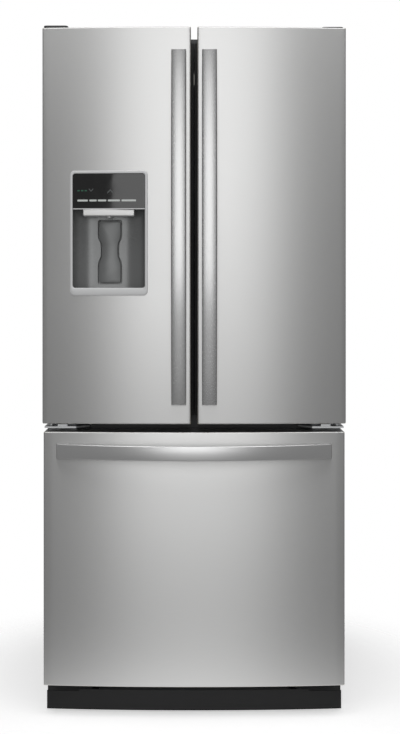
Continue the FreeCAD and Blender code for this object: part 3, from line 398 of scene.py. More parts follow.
cover_low, cover_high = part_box("machine_cover")
cover_back = cover_high[1]
hoods = Pattern("louvre_hoods", Columns=4, Rows=3, Column_Pitch=0.016, Row_Pitch=0.05, Length=0.03,
                Width=0.006, Rise=0.0018, Centre=(0.0, 0.0, 0.0))
bar = hoods.node("GeometryNodeMeshUVSphere", {"Segments": 12, "Rings": 8, "Radius": 0.5})
hood = hoods.transformed(bar, Scale=hoods.vector(hoods.given("Width"), hoods.given("Rise") * 2.0,
                                                 hoods.given("Length")))
lattice = hoods.node("GeometryNodeMeshGrid", {
    "Size X": (hoods.given("Columns") - 1) * hoods.given("Column_Pitch"),
    "Size Y": (hoods.given("Rows") - 1) * hoods.given("Row_Pitch"),
    "Vertices X": hoods.given("Columns"), "Vertices Y": hoods.given("Rows")})
stood = hoods.transformed(lattice, Translation=hoods.given("Centre"), Rotation=(math.pi / 2, 0.0, 0.0))
hoods.close(hoods.node("GeometryNodeInstanceOnPoints", {"Points": stood, "Instance": hood}), cover_paint)
SLOT_PITCH, SLOT_ROW, SLOT_MIDDLE = 0.016, 0.050, 0.159
mesh = hoods.made("louvre_hoods", Columns=29, Rows=3, Column_Pitch=SLOT_PITCH, Row_Pitch=SLOT_ROW,
                  Centre=(0.0, cover_back, SLOT_MIDDLE))
place_piece("louvre_hoods", mesh, cover_paint, "cabinet")
SCREW_EDGE = 0.010
corner_x, row_z = cover_high[0] - SCREW_EDGE, (cover_low[2] + SCREW_EDGE, cover_high[2] - SCREW_EDGE)
drive_screws("cover_screws", [(x, cover_back, z) for x in (-corner_x, 0.0, corner_x) for z in row_z],
             "cabinet", "machine_cover", Height=0.0017)

# ------------------------------------------------------------------ liners, foam and inner covers
# The compartments are vacuum-formed white liners, glossy with a faint orange peel. Foam fills the walls
# behind them; the air tower, evaporator cover and ceiling lens are separate mouldings clipped over the back
# and top.

foam = paint("wall_foam", (0.72, 0.62, 0.36), 420.0, roughness=0.9, depth=0.0003, spread=0.2)
dress(foam, "insulation_foam", "left_door_foam", "right_door_foam", "drawer_foam")
white_liner = paint("white_liner", (0.80, 0.81, 0.81), 320.0, roughness=0.3, depth=0.00005, spread=0.03)
dress(white_liner, "fresh_food_liner", "freezer_liner", "left_door_liner", "right_door_liner", "drawer_liner")
white_moulding = paint("white_moulding", (0.76, 0.77, 0.77), 1500.0, roughness=0.38, spread=0.03)
dress(white_moulding, "air_tower", "evaporator_cover", "shelf_frames")
coil_metal = paint("coil_aluminium", (0.62, 0.63, 0.64), 700.0, roughness=0.38, metallic=1.0, spread=0.08)
dress(coil_metal, "evaporator_coil")
white_paint = paint("white_track_paint", (0.78, 0.78, 0.78), 900.0, roughness=0.35, spread=0.03)
dress(white_paint, "shelf_tracks")

frosted_lens = paint("frosted_lens", (0.85, 0.86, 0.84), 2500.0, roughness=0.55, spread=0.02,
                     Emission_Color=(1.0, 0.97, 0.9, 1.0), Emission_Strength=0.25)
lens_low, lens_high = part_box("ceiling_light")


def round_loop(x0, x1, y0, y1, z, radius, steps=6):
    """A level rectangle with rounded corners, anticlockwise from above."""
    loop = []
    for x, y, start in ((x1 - radius, y1 - radius, 0), (x0 + radius, y1 - radius, 90),
                        (x0 + radius, y0 + radius, 180), (x1 - radius, y0 + radius, 270)):
        for step in range(steps + 1):
            turn = math.radians(start + 90 * step / steps)
            loop.append((x + radius * math.cos(turn), y + radius * math.sin(turn), z))
    return loop


LENS_ROUND, RIDGES, RIDGE_PITCH, RIDGE_DEEP = 0.014, 13, 0.0045, 0.0012
rows = []
for ridge in range(RIDGES):
    inset = 0.002 + RIDGE_PITCH * ridge
    for shift, drop in ((0.0, 0.0), (0.0022, RIDGE_DEEP)):
        rows.append(round_loop(lens_low[0] + inset + shift, lens_high[0] - inset - shift,
                               lens_low[1] + inset + shift, lens_high[1] - inset - shift,
                               lens_low[2] + RIDGE_DEEP - drop, max(LENS_ROUND - inset - shift, 0.001)))
rim = [round_loop(lens_low[0], lens_high[0], lens_low[1], lens_high[1], z, LENS_ROUND)
       for z in (lens_high[2], lens_low[2] + 0.003)]
place_piece("ceiling_lens", loft("ceiling_lens", (rim + rows)[::-1]), frosted_lens, "cabinet",
            ["ceiling_light"])

# ------------------------------------------------------------------ shelves, crispers and door bins
# Tempered panes lie in moulded rims. The crispers and door bins are clear moulded plastic about 3 mm thick
# with rounded corners and a stiff rim. A crisper hangs from its runner and has a curled grip in the middle of
# its front.


def clear(name, tint, roughness, index):
    """Clear glass or plastic with light scuffs."""
    finish = Finish(name, Transmission_Weight=0.92, IOR=index)
    scuff = finish.noise(35.0, 5.0, (1.0, 1.0, 0.4))
    pale = tuple(min(c * 1.04, 1.0) for c in tint)
    finish.feed(Base_Color=finish.blend(scuff, tint, pale), Roughness=scuff * 0.10 + (roughness - 0.02))
    return finish.relief(finish.noise(60.0, 2.0), 0.00003)


shelf_pane = clear("shelf_glass_clear", (0.86, 0.95, 0.92), 0.03, 1.5)
dress(shelf_pane, "shelf_glass")
clear_plastic = clear("clear_plastic", (0.88, 0.93, 0.95), 0.06, 1.46)


def open_bin(name, x0, x1, y0, y1, z0, z1, wall, corner, rim=0.0015, rim_height=0.008, foot=0.006):
    """An open-topped bin with a rounded foot, a thicker rim and a rounded inside."""
    arc = [math.radians(30 * step) for step in range(4)]

    def loop(inset, z):
        return round_loop(x0 + inset, x1 - inset, y0 + inset, y1 - inset, z, max(corner - inset, 0.001))

    outside = [loop(rim + foot * (1 - math.sin(a)), z0 + foot * (1 - math.cos(a))) for a in arc]
    lip = [loop(rim, z1 - rim_height - rim), loop(0.0, z1 - rim_height), loop(0.0, z1 - 0.0006),
           loop(0.0006, z1), loop(rim + wall - 0.0006, z1), loop(rim + wall, z1 - 0.0006)]
    inside = [loop(rim + wall + foot * (1 - math.cos(a)), z0 + wall + foot * (1 - math.sin(a))) for a in arc]
    return loft(name, outside + lip + inside)


def swept_bar(name, outline, x0, x1):
    """A closed outline in Y and Z pushed along X, capped at both ends."""
    return loft(name, [[(x, y, z) for y, z in outline] for x in (x0, x1)])


def softened_bar(name, x0, x1, y0, y1, z0, z1, radius):
    """A bar along X with rounded long edges."""
    outline = [(y, z) for y, z, x in round_loop(y0, y1, z0, z1, 0.0, radius, 4)]
    return swept_bar(name, outline, x0, x1)


WALL = 0.003
CRISPER_OUTER, RUNNER_OUTER, GRIP_INSET = 0.309, 0.326, 0.060
face_front, face_back = -0.090, -0.084
for side, name in ((-1, "left"), (1, "right")):
    low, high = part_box(f"crisper_{name}")
    inner, outer = min(low[0], high[0], key=abs), side * CRISPER_OUTER
    x0, x1 = sorted((inner, outer))
    shell = open_bin("shell", x0, x1, face_back, high[1], 0.775, 0.978, WALL, 0.008)
    plate = [(face_back, low[2]), (face_back, high[2] - 0.001), (face_back - 0.001, high[2]),
             (face_front + 0.001, high[2]), (face_front, high[2] - 0.001), (face_front, low[2] + 0.002),
             (face_front + 0.002, low[2])]
    grip = [(face_front + 0.0003, 0.9715), (face_front + 0.0003, 0.979), (face_front - 0.004, 0.979)]
    grip += [(-0.0945 + 0.0075 * math.cos(a), 0.9715 + 0.0075 * math.sin(a))
             for a in [math.radians(100 + 20 * step) for step in range(6)]]
    grip += [(-0.1012, 0.961), (-0.0992, 0.961), (-0.0985, 0.970), (-0.0950, 0.9735)]
    facia = swept_bar("facia", plate, x0, x1)
    grip = swept_bar("grip", grip, x0 + GRIP_INSET, x1 - GRIP_INSET)
    runner_x = sorted((outer - side * 0.001, side * RUNNER_OUTER))
    runner = softened_bar("runner", *runner_x, -0.080, high[1] - 0.008, 0.974, 0.978, 0.001)
    place_piece(f"crisper_{name}_drawer", merged("crisper", shell, facia, grip, runner), clear_plastic,
                f"crisper_{name}_body", [f"crisper_{name}"],
                modifiers=[("BEVEL", {"width": 0.0006, "segments": 2, "angle_limit": math.radians(50)})])

BIN_DROP, BIN_DEEP, RIB_PITCH = 0.020, 0.0985, 0.0322
for door, side, hangs in (("left", -1, (1.392, 1.520)), ("right", 1, (1.010, 1.225, 1.440))):
    low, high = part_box(f"{door}_door_bins")
    for count, z in enumerate(hangs, start=1):
        shell = open_bin("shell", low[0] + 0.006, high[0] - 0.006, low[1], high[1], z - BIN_DROP,
                         z - BIN_DROP + BIN_DEEP - 0.0005, WALL, 0.012, rim=0.002, rim_height=0.012)
        tabs = [softened_bar("tab", x, x + 0.0066, low[1] + 0.0135, low[1] + 0.0375, z, z + 0.014, 0.002)
                for x in (low[0], high[0] - 0.0066)]
        ribs = [softened_bar("rib", x - 0.001, x + 0.001, low[1] + 0.012, high[1] - 0.004,
                             z - BIN_DROP + WALL - 0.0002, z - BIN_DROP + WALL + 0.0015, 0.0005)
                for x in [low[0] + 0.05 + RIB_PITCH * step for step in range(5)]]
        node = f"{door}_door_bins"
        place_piece(f"{door}_door_bin_{count}", merged("bin", shell, *tabs, *ribs), clear_plastic,
                    f"{door}_door", [node] if count == 1 else ())

# ------------------------------------------------------------------ freezer baskets
# Two white moulded baskets: walls of upright slats between a solid foot band and a rounded rim, over a plain
# floor. The deep one hangs on the drawer's side plates and the shallow one slides above it.

basket_plastic = paint("basket_moulding", (0.78, 0.79, 0.80), 1300.0, roughness=0.36, spread=0.03)
baskets = Pattern("slatted_basket", Width=0.5, Depth=0.4, Height=0.2, Corner=0.016, Wall=0.003, Foot=0.03,
                  Rim=0.012, Slat=0.006, Pitch=0.014, Centre=(0.0, 0.0, 0.0))
wall, foot, rim = (baskets.given(label) for label in ("Wall", "Foot", "Rim"))
path = baskets.rounded_outline(baskets.given("Width") - wall, baskets.given("Depth") - wall,
                               baskets.given("Corner"), 6)


def band(thick, tall, rise):
    """A ring of the basket's outline with a rectangular section, its lower edge at rise."""
    section = baskets.rounded_outline(thick, tall, thick * 0.3, 2)
    ring = baskets.node("GeometryNodeCurveToMesh", {"Curve": path, "Profile Curve": section})
    return baskets.transformed(ring, Translation=baskets.vector(0.0, 0.0, rise + tall * 0.5))


slat_tall = baskets.given("Height") - foot - rim + 0.002
spots = baskets.node("GeometryNodeResampleCurve", {"Curve": path, "Length": baskets.given("Pitch")},
                     mode="LENGTH")
size = baskets.vector(baskets.given("Slat"), wall * 0.8, slat_tall)
slat = baskets.node("GeometryNodeMeshCube", {"Size": size})
along = baskets.node("FunctionNodeAlignRotationToVector",
                     {"Vector": baskets.node("GeometryNodeInputTangent")}, axis="X", pivot_axis="Z")
slats = baskets.node("GeometryNodeInstanceOnPoints", {"Points": spots, "Instance": slat, "Rotation": along})
slats = baskets.transformed(slats, Translation=baskets.vector(0.0, 0.0, foot + slat_tall * 0.5 - 0.001))
sheet = baskets.node("GeometryNodeFillCurve", {"Curve": path}, mode="NGONS")
floor = baskets.node("GeometryNodeExtrudeMesh", {"Mesh": sheet, "Offset": baskets.vector(0.0, 0.0, wall),
                                                 "Individual": False})
underside = baskets.node("GeometryNodeFlipFaces", {"Mesh": sheet})
floor = baskets.node("GeometryNodeJoinGeometry", {"Geometry": [floor, underside]})
floor = baskets.node("GeometryNodeMergeByDistance", {"Geometry": floor, "Distance": 0.00005})
parts = baskets.node("GeometryNodeJoinGeometry", {"Geometry": [
    band(wall, foot, 0.0), band(wall * 1.9, rim, baskets.given("Height") - rim), slats, floor]})
baskets.close(baskets.transformed(parts, Translation=baskets.given("Centre")), basket_plastic)


def place_basket(name, node, body, half, y0, y1, z0, z1, ledge, foot_band):
    """A basket with a ledge along each side that rests on the drawer's side plates."""
    shell = baskets.made(name, Width=2 * half - 0.003, Depth=y1 - y0 - 0.003, Height=z1 - z0, Foot=foot_band,
                         Centre=(0.0, (y0 + y1) / 2, z0))
    low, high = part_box(node)
    ledges = [softened_bar("ledge", *sorted((side * (half - 0.002), side * high[0])), y0 + 0.016, y1 - 0.016,
                           *ledge, 0.0012)
              for side in (-1, 1)]
    place_piece(name, merged(name, shell, *ledges), basket_plastic, body, [node])


place_basket("deep_basket", "lower_basket", "freezer_drawer", 0.286, -0.268, 0.148, 0.134, 0.3545,
             (0.3542, 0.3572), 0.060)
place_basket("shallow_basket", "upper_basket", "upper_basket_body", 0.283, -0.262, 0.196, 0.4343, 0.588,
             (0.4313, 0.4343), 0.036)

# ------------------------------------------------------------------ slides and hinges
# Slides and hinge brackets are bent or rolled from zinc-plated steel; the two top hinges sit under dark
# moulded caps, the left one taller because the water line passes through it.

dress(zinc, "freezer_outer_rails", "freezer_mid_rails", "drawer_rails", "top_hinges", "centre_hinges")
cap_moulding = paint("hinge_cap_moulding", (0.06, 0.06, 0.062), 1600.0, roughness=0.5)
dress(cap_moulding, "hinge_cover_left", "hinge_cover_right")

# ------------------------------------------------------------------ door and drawer skins
# Each front is one stainless sheet with a level satin grain, pressed to a shallow arc and folded back round
# all four edges. The left one has an opening for the dispenser; foam and a moulded panel close the back.

FRONT = -0.369           # middle of the arc
ARC = 4.77               # its radius in plan
DOOR_BACK = -0.279
EDGE = 0.0035            # outside radius of the folds


def arc_y(x, proud=0.0):
    """Where the arc of the fronts is at x, or a surface standing proud of it."""
    return FRONT + ARC - math.sqrt((ARC + proud) ** 2 - x * x)


def outward(x, proud=0.0):
    """The direction out of the arc at x, in plan."""
    return Vector((x / (ARC + proud), (arc_y(x, proud) - FRONT - ARC) / (ARC + proud)))


def plan_outline(x0, x1, back, stops):
    """Points and outward directions round a front's sides and face, seen from above, left to right."""
    spine = ARC - EDGE

    def corner(x, angles):
        centre = Vector((x, FRONT + ARC - math.sqrt(spine ** 2 - x * x)))
        return [(centre + Vector((math.cos(a), math.sin(a))) * EDGE, Vector((math.cos(a), math.sin(a))))
                for a in angles]

    def swing(x, side):
        """Angles from straight sideways to the face's own direction."""
        first = math.pi if side < 0 else 0.0
        face = outward(x)
        last = math.atan2(face.y, face.x)
        if side < 0:
            last += 2 * math.pi
        return [first + (last - first) * step / 5 for step in range(6)]

    left = corner(x0 + EDGE, swing(x0 + EDGE, -1))
    right = corner(x1 - EDGE, swing(x1 - EDGE, 1))[::-1]
    points = [(Vector((x0, back)), Vector((-1.0, 0.0)))] + left
    inner = [x0 + EDGE + (x1 - x0 - 2 * EDGE) * step / 36 for step in range(1, 36)]
    inner = sorted([x for x in inner if all(abs(x - stop) > 0.004 for stop in stops)] + list(stops))
    points += [(Vector((x, arc_y(x))), outward(x)) for x in inner]
    return points + right + [(Vector((x1, back)), Vector((1.0, 0.0)))]


def front_skin(name, x0, x1, z0, z1, hole=None):
    """One folded front, with an opening at hole = (x0, x1, z0, z1)."""
    stops = hole[:2] if hole else ()
    outline = plan_outline(x0, x1, DOOR_BACK, stops)
    folds = [(z0 + EDGE * (1 - math.sin(a)), EDGE * (1 - math.cos(a)))
             for a in [math.radians(90 - 18 * step) for step in range(6)]]
    top = [(z0 + z1 - z, inset) for z, inset in reversed(folds)]
    levels = folds + ([(hole[2], 0.0), (hole[3], 0.0)] if hole else []) + top
    rows = []
    for z, inset in levels:
        row = [point - way * inset for point, way in outline]
        rows.append([(p.x, min(p.y, DOOR_BACK), z) for p in row])
    if hole:
        cut_row = levels.index((hole[2], 0.0))
        xs = [round(point.x, 6) for point, way in outline]
        first, last = (max(i for i, x in enumerate(xs) if x == round(stop, 6)) for stop in stops)
        skip = lambda row, column: row == cut_row and first <= column < last
    else:
        skip = lambda row, column: False
    return grid_mesh(name, rows, skip, caps=((0, True), (len(rows) - 1, False)))


def satin_steel(name, colour, roughness, grain_way, fine=1.0, **sockets):
    """Stainless steel polished along one axis: long fine scratches, soft cloudy smears and a dull film."""
    finish = Finish(name, Metallic=1.0, **sockets)
    long_way = [1.0 if axis == grain_way else 42.0 for axis in "xyz"]
    scratches = finish.noise(26.0 * fine, 3.0, long_way)
    hairs = finish.noise(90.0 * fine, 1.0, long_way)
    smear = finish.noise(2.2, 3.0, (1.0, 1.0, 0.5))
    low = tuple(c * 0.93 for c in colour)
    finish.feed(
        Base_Color=finish.blend(scratches * 0.7 + smear * 0.3, low, colour),
        Roughness=scratches * 0.10 + smear * 0.07 + (roughness - 0.085),
    )
    return finish.relief(scratches * 0.6 + hairs * 0.4, 0.000004)


STEEL_COLOUR, STEEL_ROUGHNESS = (0.66, 0.66, 0.655), 0.36
door_steel = satin_steel("door_stainless", STEEL_COLOUR, STEEL_ROUGHNESS, "x", Anisotropic=0.85,
                         Anisotropic_Rotation=0.25)
fold_steel = satin_steel("fold_stainless", STEEL_COLOUR, STEEL_ROUGHNESS, "x")
DOOR_HALF, DOOR_GAP_HALF, DOOR_LOW, DOOR_HIGH = 0.378, 0.008, 0.730, 1.716
DRAWER_HALF, DRAWER_LOW, DRAWER_HIGH = 0.375, 0.078, 0.710
LEVEL_FACE = 0.6         # faces whose normals are steeper than this are the folds on top and underneath
dispenser_hole = (-0.3045, -0.1195, 1.052, 1.3545)
for name, body, node, extents in (
        ("left_door_sheet", "left_door", "left_door_skin",
         (-DOOR_HALF, -DOOR_GAP_HALF, DOOR_LOW, DOOR_HIGH, dispenser_hole)),
        ("right_door_sheet", "right_door", "right_door_skin",
         (DOOR_GAP_HALF, DOOR_HALF, DOOR_LOW, DOOR_HIGH)),
        ("drawer_sheet", "freezer_drawer", "drawer_skin",
         (-DRAWER_HALF, DRAWER_HALF, DRAWER_LOW, DRAWER_HIGH))):
    skin = place_piece(name, front_skin(name, *extents), door_steel, body, [node], modifiers=[inward_sheet])
    skin.data.materials.append(fold_steel.material)
    for face in skin.data.polygons:
        face.material_index = int(abs(face.normal.z) > LEVEL_FACE)

# ------------------------------------------------------------------ gaskets and centre flap
# Soft dark gaskets run round the back of each front: a foot in the panel's groove, bellows, and a tube that
# holds the magnet strip. A thin lip on each door's gasket reaches to the middle, where a moulded flap hangs.

gasket_rubber = paint("gasket_rubber", (0.022, 0.022, 0.023), 1300.0, roughness=0.62)
seals = Pattern("gasket_ring", Width=0.35, Height=0.9, Corner=0.012, Centre=(0.0, 0.0, 0.0))
loop = seals.rounded_outline(seals.given("Width"), seals.given("Height"), seals.given("Corner"), 6)
section = seals.node("GeometryNodeMeshToCurve", {"Mesh": Wire(seals, seals.entry.outputs["Host"])})
ring = seals.node("GeometryNodeCurveToMesh", {"Curve": loop, "Profile Curve": section})
ring = seals.node("GeometryNodeFlipFaces", {"Mesh": ring})
stood = seals.transformed(ring, Rotation=(math.pi / 2, 0.0, 0.0), Translation=seals.given("Centre"))
seals.close(stood, gasket_rubber)

SEAL_HALF, SEAL_DEEP = 0.008, 0.0118
bellows = [(1.0, 0.0), (1.0, 0.0014), (0.62, 0.0022), (0.92, 0.0048), (0.62, 0.0072), (0.9, 0.0080),
           (0.9, 0.0112), (0.82, SEAL_DEEP)]
bellows = [(across * SEAL_HALF, deep) for across, deep in bellows]
bellows += [(-across, deep) for across, deep in reversed(bellows)]


def door_seal(name, node, body, lip=None):
    """A gasket round the inside of one front, with its lip between the doors if it has one."""
    low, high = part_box(node)
    x0, x1 = (low[0], high[0]) if lip is None else sorted((lip[1], max(low[0], high[0], key=abs)))
    host = bpy.data.meshes.new("bellows")
    edges = [(i, (i + 1) % len(bellows)) for i in range(len(bellows))]
    host.from_pydata([(across, -deep, 0.0) for across, deep in bellows], edges, [])
    mesh = seals.made(name, host, Width=x1 - x0 - 2 * SEAL_HALF, Height=high[2] - low[2] - 2 * SEAL_HALF,
                      Centre=((x0 + x1) / 2, low[1], (low[2] + high[2]) / 2))
    if lip:
        a, b = sorted(lip)
        strip = open_bin("lip", a, b, low[1] + 0.0002, low[1] + 0.0028, low[2], high[2], 0.0008, 0.0006,
                         rim=0.0001, rim_height=0.002, foot=0.0002)
        mesh = merged(name, mesh, strip)
    place_piece(name, mesh, gasket_rubber, body, [node])


door_seal("left_door_seal", "left_door_gasket", "left_door", lip=(-0.0005, -0.010))
door_seal("right_door_seal", "right_door_gasket", "right_door", lip=(0.0005, 0.010))
door_seal("drawer_seal", "drawer_gasket", "freezer_drawer")
flap_moulding = paint("flap_moulding", (0.06, 0.06, 0.062), 1500.0, roughness=0.5)
dress(flap_moulding, "mullion_flap")

# ------------------------------------------------------------------ water dispenser
# A silver-painted bezel frames a grey moulded recess and, above it, a gloss black control face with back-lit
# marks. A bright bar over the recess holds the spout; a waisted paddle hangs in a well in the back wall.

bezel_paint = paint("silver_bezel_paint", (0.80, 0.805, 0.81), 2400.0, roughness=0.36, metallic=0.15,
                    spread=0.03, depth=0.00001)
housing_low, housing_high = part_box("dispenser_housing")
panel_low, panel_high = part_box("dispenser_panel")
PROUD, RING = 0.002, 0.007
window_x0, window_x1 = housing_low[0] + RING, housing_high[0] - RING
window_z0, window_z1 = housing_low[2] + 0.019, housing_high[2] - RING


def framed_loop(grow, proud, round_off, y=None):
    """The bezel's outline between its window (grow 0) and its outside (grow 1), on the arc of the door."""
    x0, x1 = window_x0 + (housing_low[0] - window_x0) * grow, window_x1 + (housing_high[0] - window_x1) * grow
    z0, z1 = window_z0 + (housing_low[2] - window_z0) * grow, window_z1 + (housing_high[2] - window_z1) * grow
    return [(x, arc_y(x, proud) if y is None else y, z)
            for x, z, flat in round_loop(x0, x1, z0, z1, 0.0, round_off, 8)]


bezel_rows = [framed_loop(1.0, -0.0005, 0.012), framed_loop(1.0, PROUD - 0.0012, 0.012),
              framed_loop(0.95, PROUD - 0.0004, 0.0118), framed_loop(0.86, PROUD, 0.0112),
              framed_loop(0.22, PROUD, 0.0078), framed_loop(0.08, PROUD - 0.0004, 0.0072),
              framed_loop(0.0, PROUD - 0.0014, 0.0068), framed_loop(0.0, -0.004, 0.0068)]
place_piece("dispenser_bezel", grid_mesh("dispenser_bezel", bezel_rows, ring=True), bezel_paint, "left_door",
            ["dispenser_housing"], modifiers=[("SOLIDIFY", {"thickness": 0.0008, "offset": -1.0})])

recess_moulding = paint("recess_moulding", (0.25, 0.255, 0.255), 1500.0, roughness=0.26, metallic=0.35,
                        depth=0.00002, spread=0.06)
RECESS_TOP, RECESS_FLOOR, RECESS_BACK = 1.2632, 1.0640, -0.318
WELL_BACK = -0.2965
COVE_X, COVE_Y, COVE_Z, SPAN, STEPS = 0.050, 0.030, 0.008, 22, 12
paddle_low, paddle_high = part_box("dispenser_paddle")
paddle_middle = (paddle_low[0] + paddle_high[0]) / 2
PADDLE_HALF, PADDLE_WAIST, PADDLE_ROUND = 0.027, 0.0195, 0.006
PADDLE_GAP = 0.003


def paddle_half(z, grow=0.0):
    """Half the paddle's width at a height: straight ends drawn in to a waist by smooth shoulders."""
    away = abs(z - (1.150 + 1.176) / 2) - 0.013
    drawn = min(max(away / 0.022, 0.0), 1.0)
    drawn = drawn * drawn * (3 - 2 * drawn)
    return PADDLE_WAIST + (PADDLE_HALF - PADDLE_WAIST) * drawn + grow


def waisted_loop(y, grow=0.0):
    """The paddle's outline seen from the front, anticlockwise, with rounded corners."""
    z0, z1 = paddle_low[2] - grow, paddle_high[2] + grow
    loop = []
    for side, start in ((1, 0), (-1, 1)):
        for step in range(SPAN + 1):
            part = step / SPAN if side > 0 else 1 - step / SPAN
            z = z0 + (z1 - z0) * (0.5 - 0.5 * math.cos(math.pi * part))
            near = min(z - z0, z1 - z)
            eased = max(PADDLE_ROUND - near, 0.0)
            pulled = PADDLE_ROUND - math.sqrt(max(PADDLE_ROUND ** 2 - eased ** 2, 0.0))
            loop.append((paddle_middle + side * (paddle_half(z, grow) - pulled), y, z))
    return loop


def recess_loop(inset_x, inset_z, y):
    """The recess at one depth, with as many points on each side as the paddle's outline."""
    x0, x1 = window_x0 + 0.0003 + inset_x, window_x1 - 0.0003 - inset_x
    z0, z1 = RECESS_FLOOR - 0.002 + inset_z, RECESS_TOP - inset_z
    parts = [0.5 - 0.5 * math.cos(math.pi * step / SPAN) for step in range(SPAN + 1)]
    right = [(x1, y, z0 + (z1 - z0) * part) for part in parts]
    return right + [(x0, y, z1 - (z1 - z0) * part) for part in parts]


rows = [[(x, arc_y(x) + 0.0025, z) for x, y, z in recess_loop(0.0, 0.0, 0.0)]]
for step in range(STEPS + 1):
    turn = math.radians(90 * step / STEPS)
    rows.append(recess_loop(COVE_X * (1 - math.cos(turn)), COVE_Z * (1 - math.cos(turn)),
                            RECESS_BACK - COVE_Y + COVE_Y * math.sin(turn)))
rows += [waisted_loop(RECESS_BACK, PADDLE_GAP + 0.0008), waisted_loop(RECESS_BACK + 0.0008, PADDLE_GAP),
         waisted_loop(WELL_BACK, PADDLE_GAP)]
mesh = grid_mesh("dispenser_recess", rows, caps=((len(rows) - 1, False),), ring=True)
place_piece("dispenser_recess", mesh, recess_moulding, "left_door",
            modifiers=[("SOLIDIFY", {"thickness": 0.0012, "offset": -1.0})])

brow_low, brow_high = RECESS_TOP + 0.0001, panel_low[2] + 0.0001
brow_x0, brow_x1 = window_x0 + 0.0004, window_x1 - 0.0004
rows = []
for step in range(13):
    x = brow_x0 + (brow_x1 - brow_x0) * step / 12
    rows.append([(x, arc_y(x) + deep, z) for deep, z in
                 ((-0.0003, brow_low), (0.004, brow_low), (0.004, brow_high), (-0.0003, brow_high))])
place_piece("dispenser_brow", loft("dispenser_brow", rows), bezel_paint, "left_door")

paddle_moulding = paint("paddle_moulding", (0.22, 0.225, 0.225), 1500.0, roughness=0.3, metallic=0.3,
                        depth=0.00002, spread=0.06)
face, back = -0.316, -0.312
rows = [waisted_loop(back), waisted_loop(face + 0.0010), waisted_loop(face + 0.0003, -0.0004),
        waisted_loop(face, -0.0012)]
blade = loft("blade", rows)
pin_z, pin_y, pin_r = 1.232, -0.314, 0.002
pin_turns = [math.tau * step / 16 for step in range(16)]
pin = swept_bar("pin", [(pin_y + pin_r * math.cos(a), pin_z + pin_r * math.sin(a)) for a in pin_turns],
                paddle_low[0], paddle_high[0])
place_piece("dispenser_lever", merged("lever", blade, pin), paddle_moulding, "paddle", ["dispenser_paddle"])

control_gloss = paint("control_gloss", (0.010, 0.010, 0.010), 30.0, roughness=0.07, depth=0.000004,
                      spread=0.2, Coat_Weight=0.4, Coat_Roughness=0.03)
CONTROL_PROUD = 0.0005
control_low, control_high = panel_low[2] + 0.0002, panel_high[2] - 0.0002


def control_loop(inset, proud):
    """The control face's outline drawn in by inset; only its upper corners are rounded."""
    x0, x1 = window_x0 + 0.0005 + inset, window_x1 - 0.0005 - inset
    z0, z1 = control_low + inset, control_high - inset
    top, low = max(0.0065 - inset, 0.0008), 0.0005
    corners = [(x1 - top, z1 - top, top, 0), (x0 + top, z1 - top, top, 90),
               (x0 + low, z0 + low, low, 180), (x1 - low, z0 + low, low, 270)]
    loop = []
    for x, z, radius, start in corners:
        for step in range(7):
            turn = math.radians(start + 15 * step)
            place = x + radius * math.cos(turn)
            loop.append((place, arc_y(place, proud), z + radius * math.sin(turn)))
        if start in (0, 180):
            aim = x0 + top if start == 0 else x1 - low
            loop += [(place + (aim - place) * part / 8, arc_y(place + (aim - place) * part / 8, proud),
                      z + radius * (1 if start == 0 else -1)) for part in range(1, 8)]
    return loop


rows = [control_loop(0.0, -0.003), control_loop(0.0, CONTROL_PROUD - 0.0006),
        control_loop(0.0003, CONTROL_PROUD - 0.0001)]
rows += [control_loop(inset, CONTROL_PROUD) for inset in (0.0010, 0.020, 0.0415)]
place_piece("control_face", loft("control_face", rows), control_gloss, "left_door", ["dispenser_panel"])

mark_white = paint("mark_white", (0.52, 0.53, 0.52), 900.0, roughness=0.5, depth=0.00001,
                   Emission_Color=(0.9, 1.0, 0.95, 1.0), Emission_Strength=0.16)
mark_grey = paint("mark_grey", (0.11, 0.12, 0.12), 900.0, roughness=0.5, depth=0.00001)
mark_green = paint("mark_green", (0.01, 0.05, 0.03), 900.0, roughness=0.4, depth=0.00001,
                   Emission_Color=(0.05, 0.6, 0.32, 1.0), Emission_Strength=0.06)


def mark(outline, thick=0.00025):
    """A printed or lit shape on the control face, from points in X and Z, anticlockwise from the front."""
    rows = [[(x, arc_y(x, CONTROL_PROUD + lift), z) for x, z in outline] for lift in (-0.0001, thick)]
    return loft("mark", rows)


def bar_mark(x0, x1, z, tall):
    return mark([(x, z + up) for x, up, flat in round_loop(x0, x1, -tall / 2, tall / 2, 0.0, tall * 0.3, 3)])


def chevron(x, z, half, up):
    """An open arrow head, pointing up (1) or down (-1)."""
    bold = half * 0.55
    outline = [(x - half, z - up * half * 0.5), (x, z + up * half * 0.5), (x + half, z - up * half * 0.5),
               (x + half, z - up * (half * 0.5 + bold)), (x, z + up * (half * 0.5 - bold)),
               (x - half, z - up * (half * 0.5 + bold))]
    return mark(outline if up < 0 else outline[::-1])


DASH_LINE, LAMP_LINE = panel_low[2] + 0.0195, panel_low[2] + 0.0440
dashes = ((0.012, 0.038), (0.042, 0.060), (0.063, 0.084), (0.088, 0.118), (0.122, 0.158))
DASH_TALL, LAMP_TALL, LAMP_LONG, LAMP_PITCH = 0.0046, 0.0034, 0.006, 0.009
dash_bars = [bar_mark(window_x0 + a, window_x0 + b, DASH_LINE, DASH_TALL) for a, b in dashes]
arrows = [chevron(window_x0 + 0.046, LAMP_LINE, 0.0055, -1), chevron(window_x0 + 0.094, LAMP_LINE, 0.0075, 1)]
lamp_starts = [window_x0 + 0.012 + LAMP_PITCH * lamp for lamp in range(3)]
lamps = [bar_mark(start, start + LAMP_LONG, LAMP_LINE, LAMP_TALL) for start in lamp_starts]
for name, marks, finish in (("dashes", dash_bars, mark_white), ("arrows", arrows, mark_grey),
                            ("lamps", lamps, mark_green)):
    place_piece(f"control_{name}", merged(name, *marks), finish, "left_door")

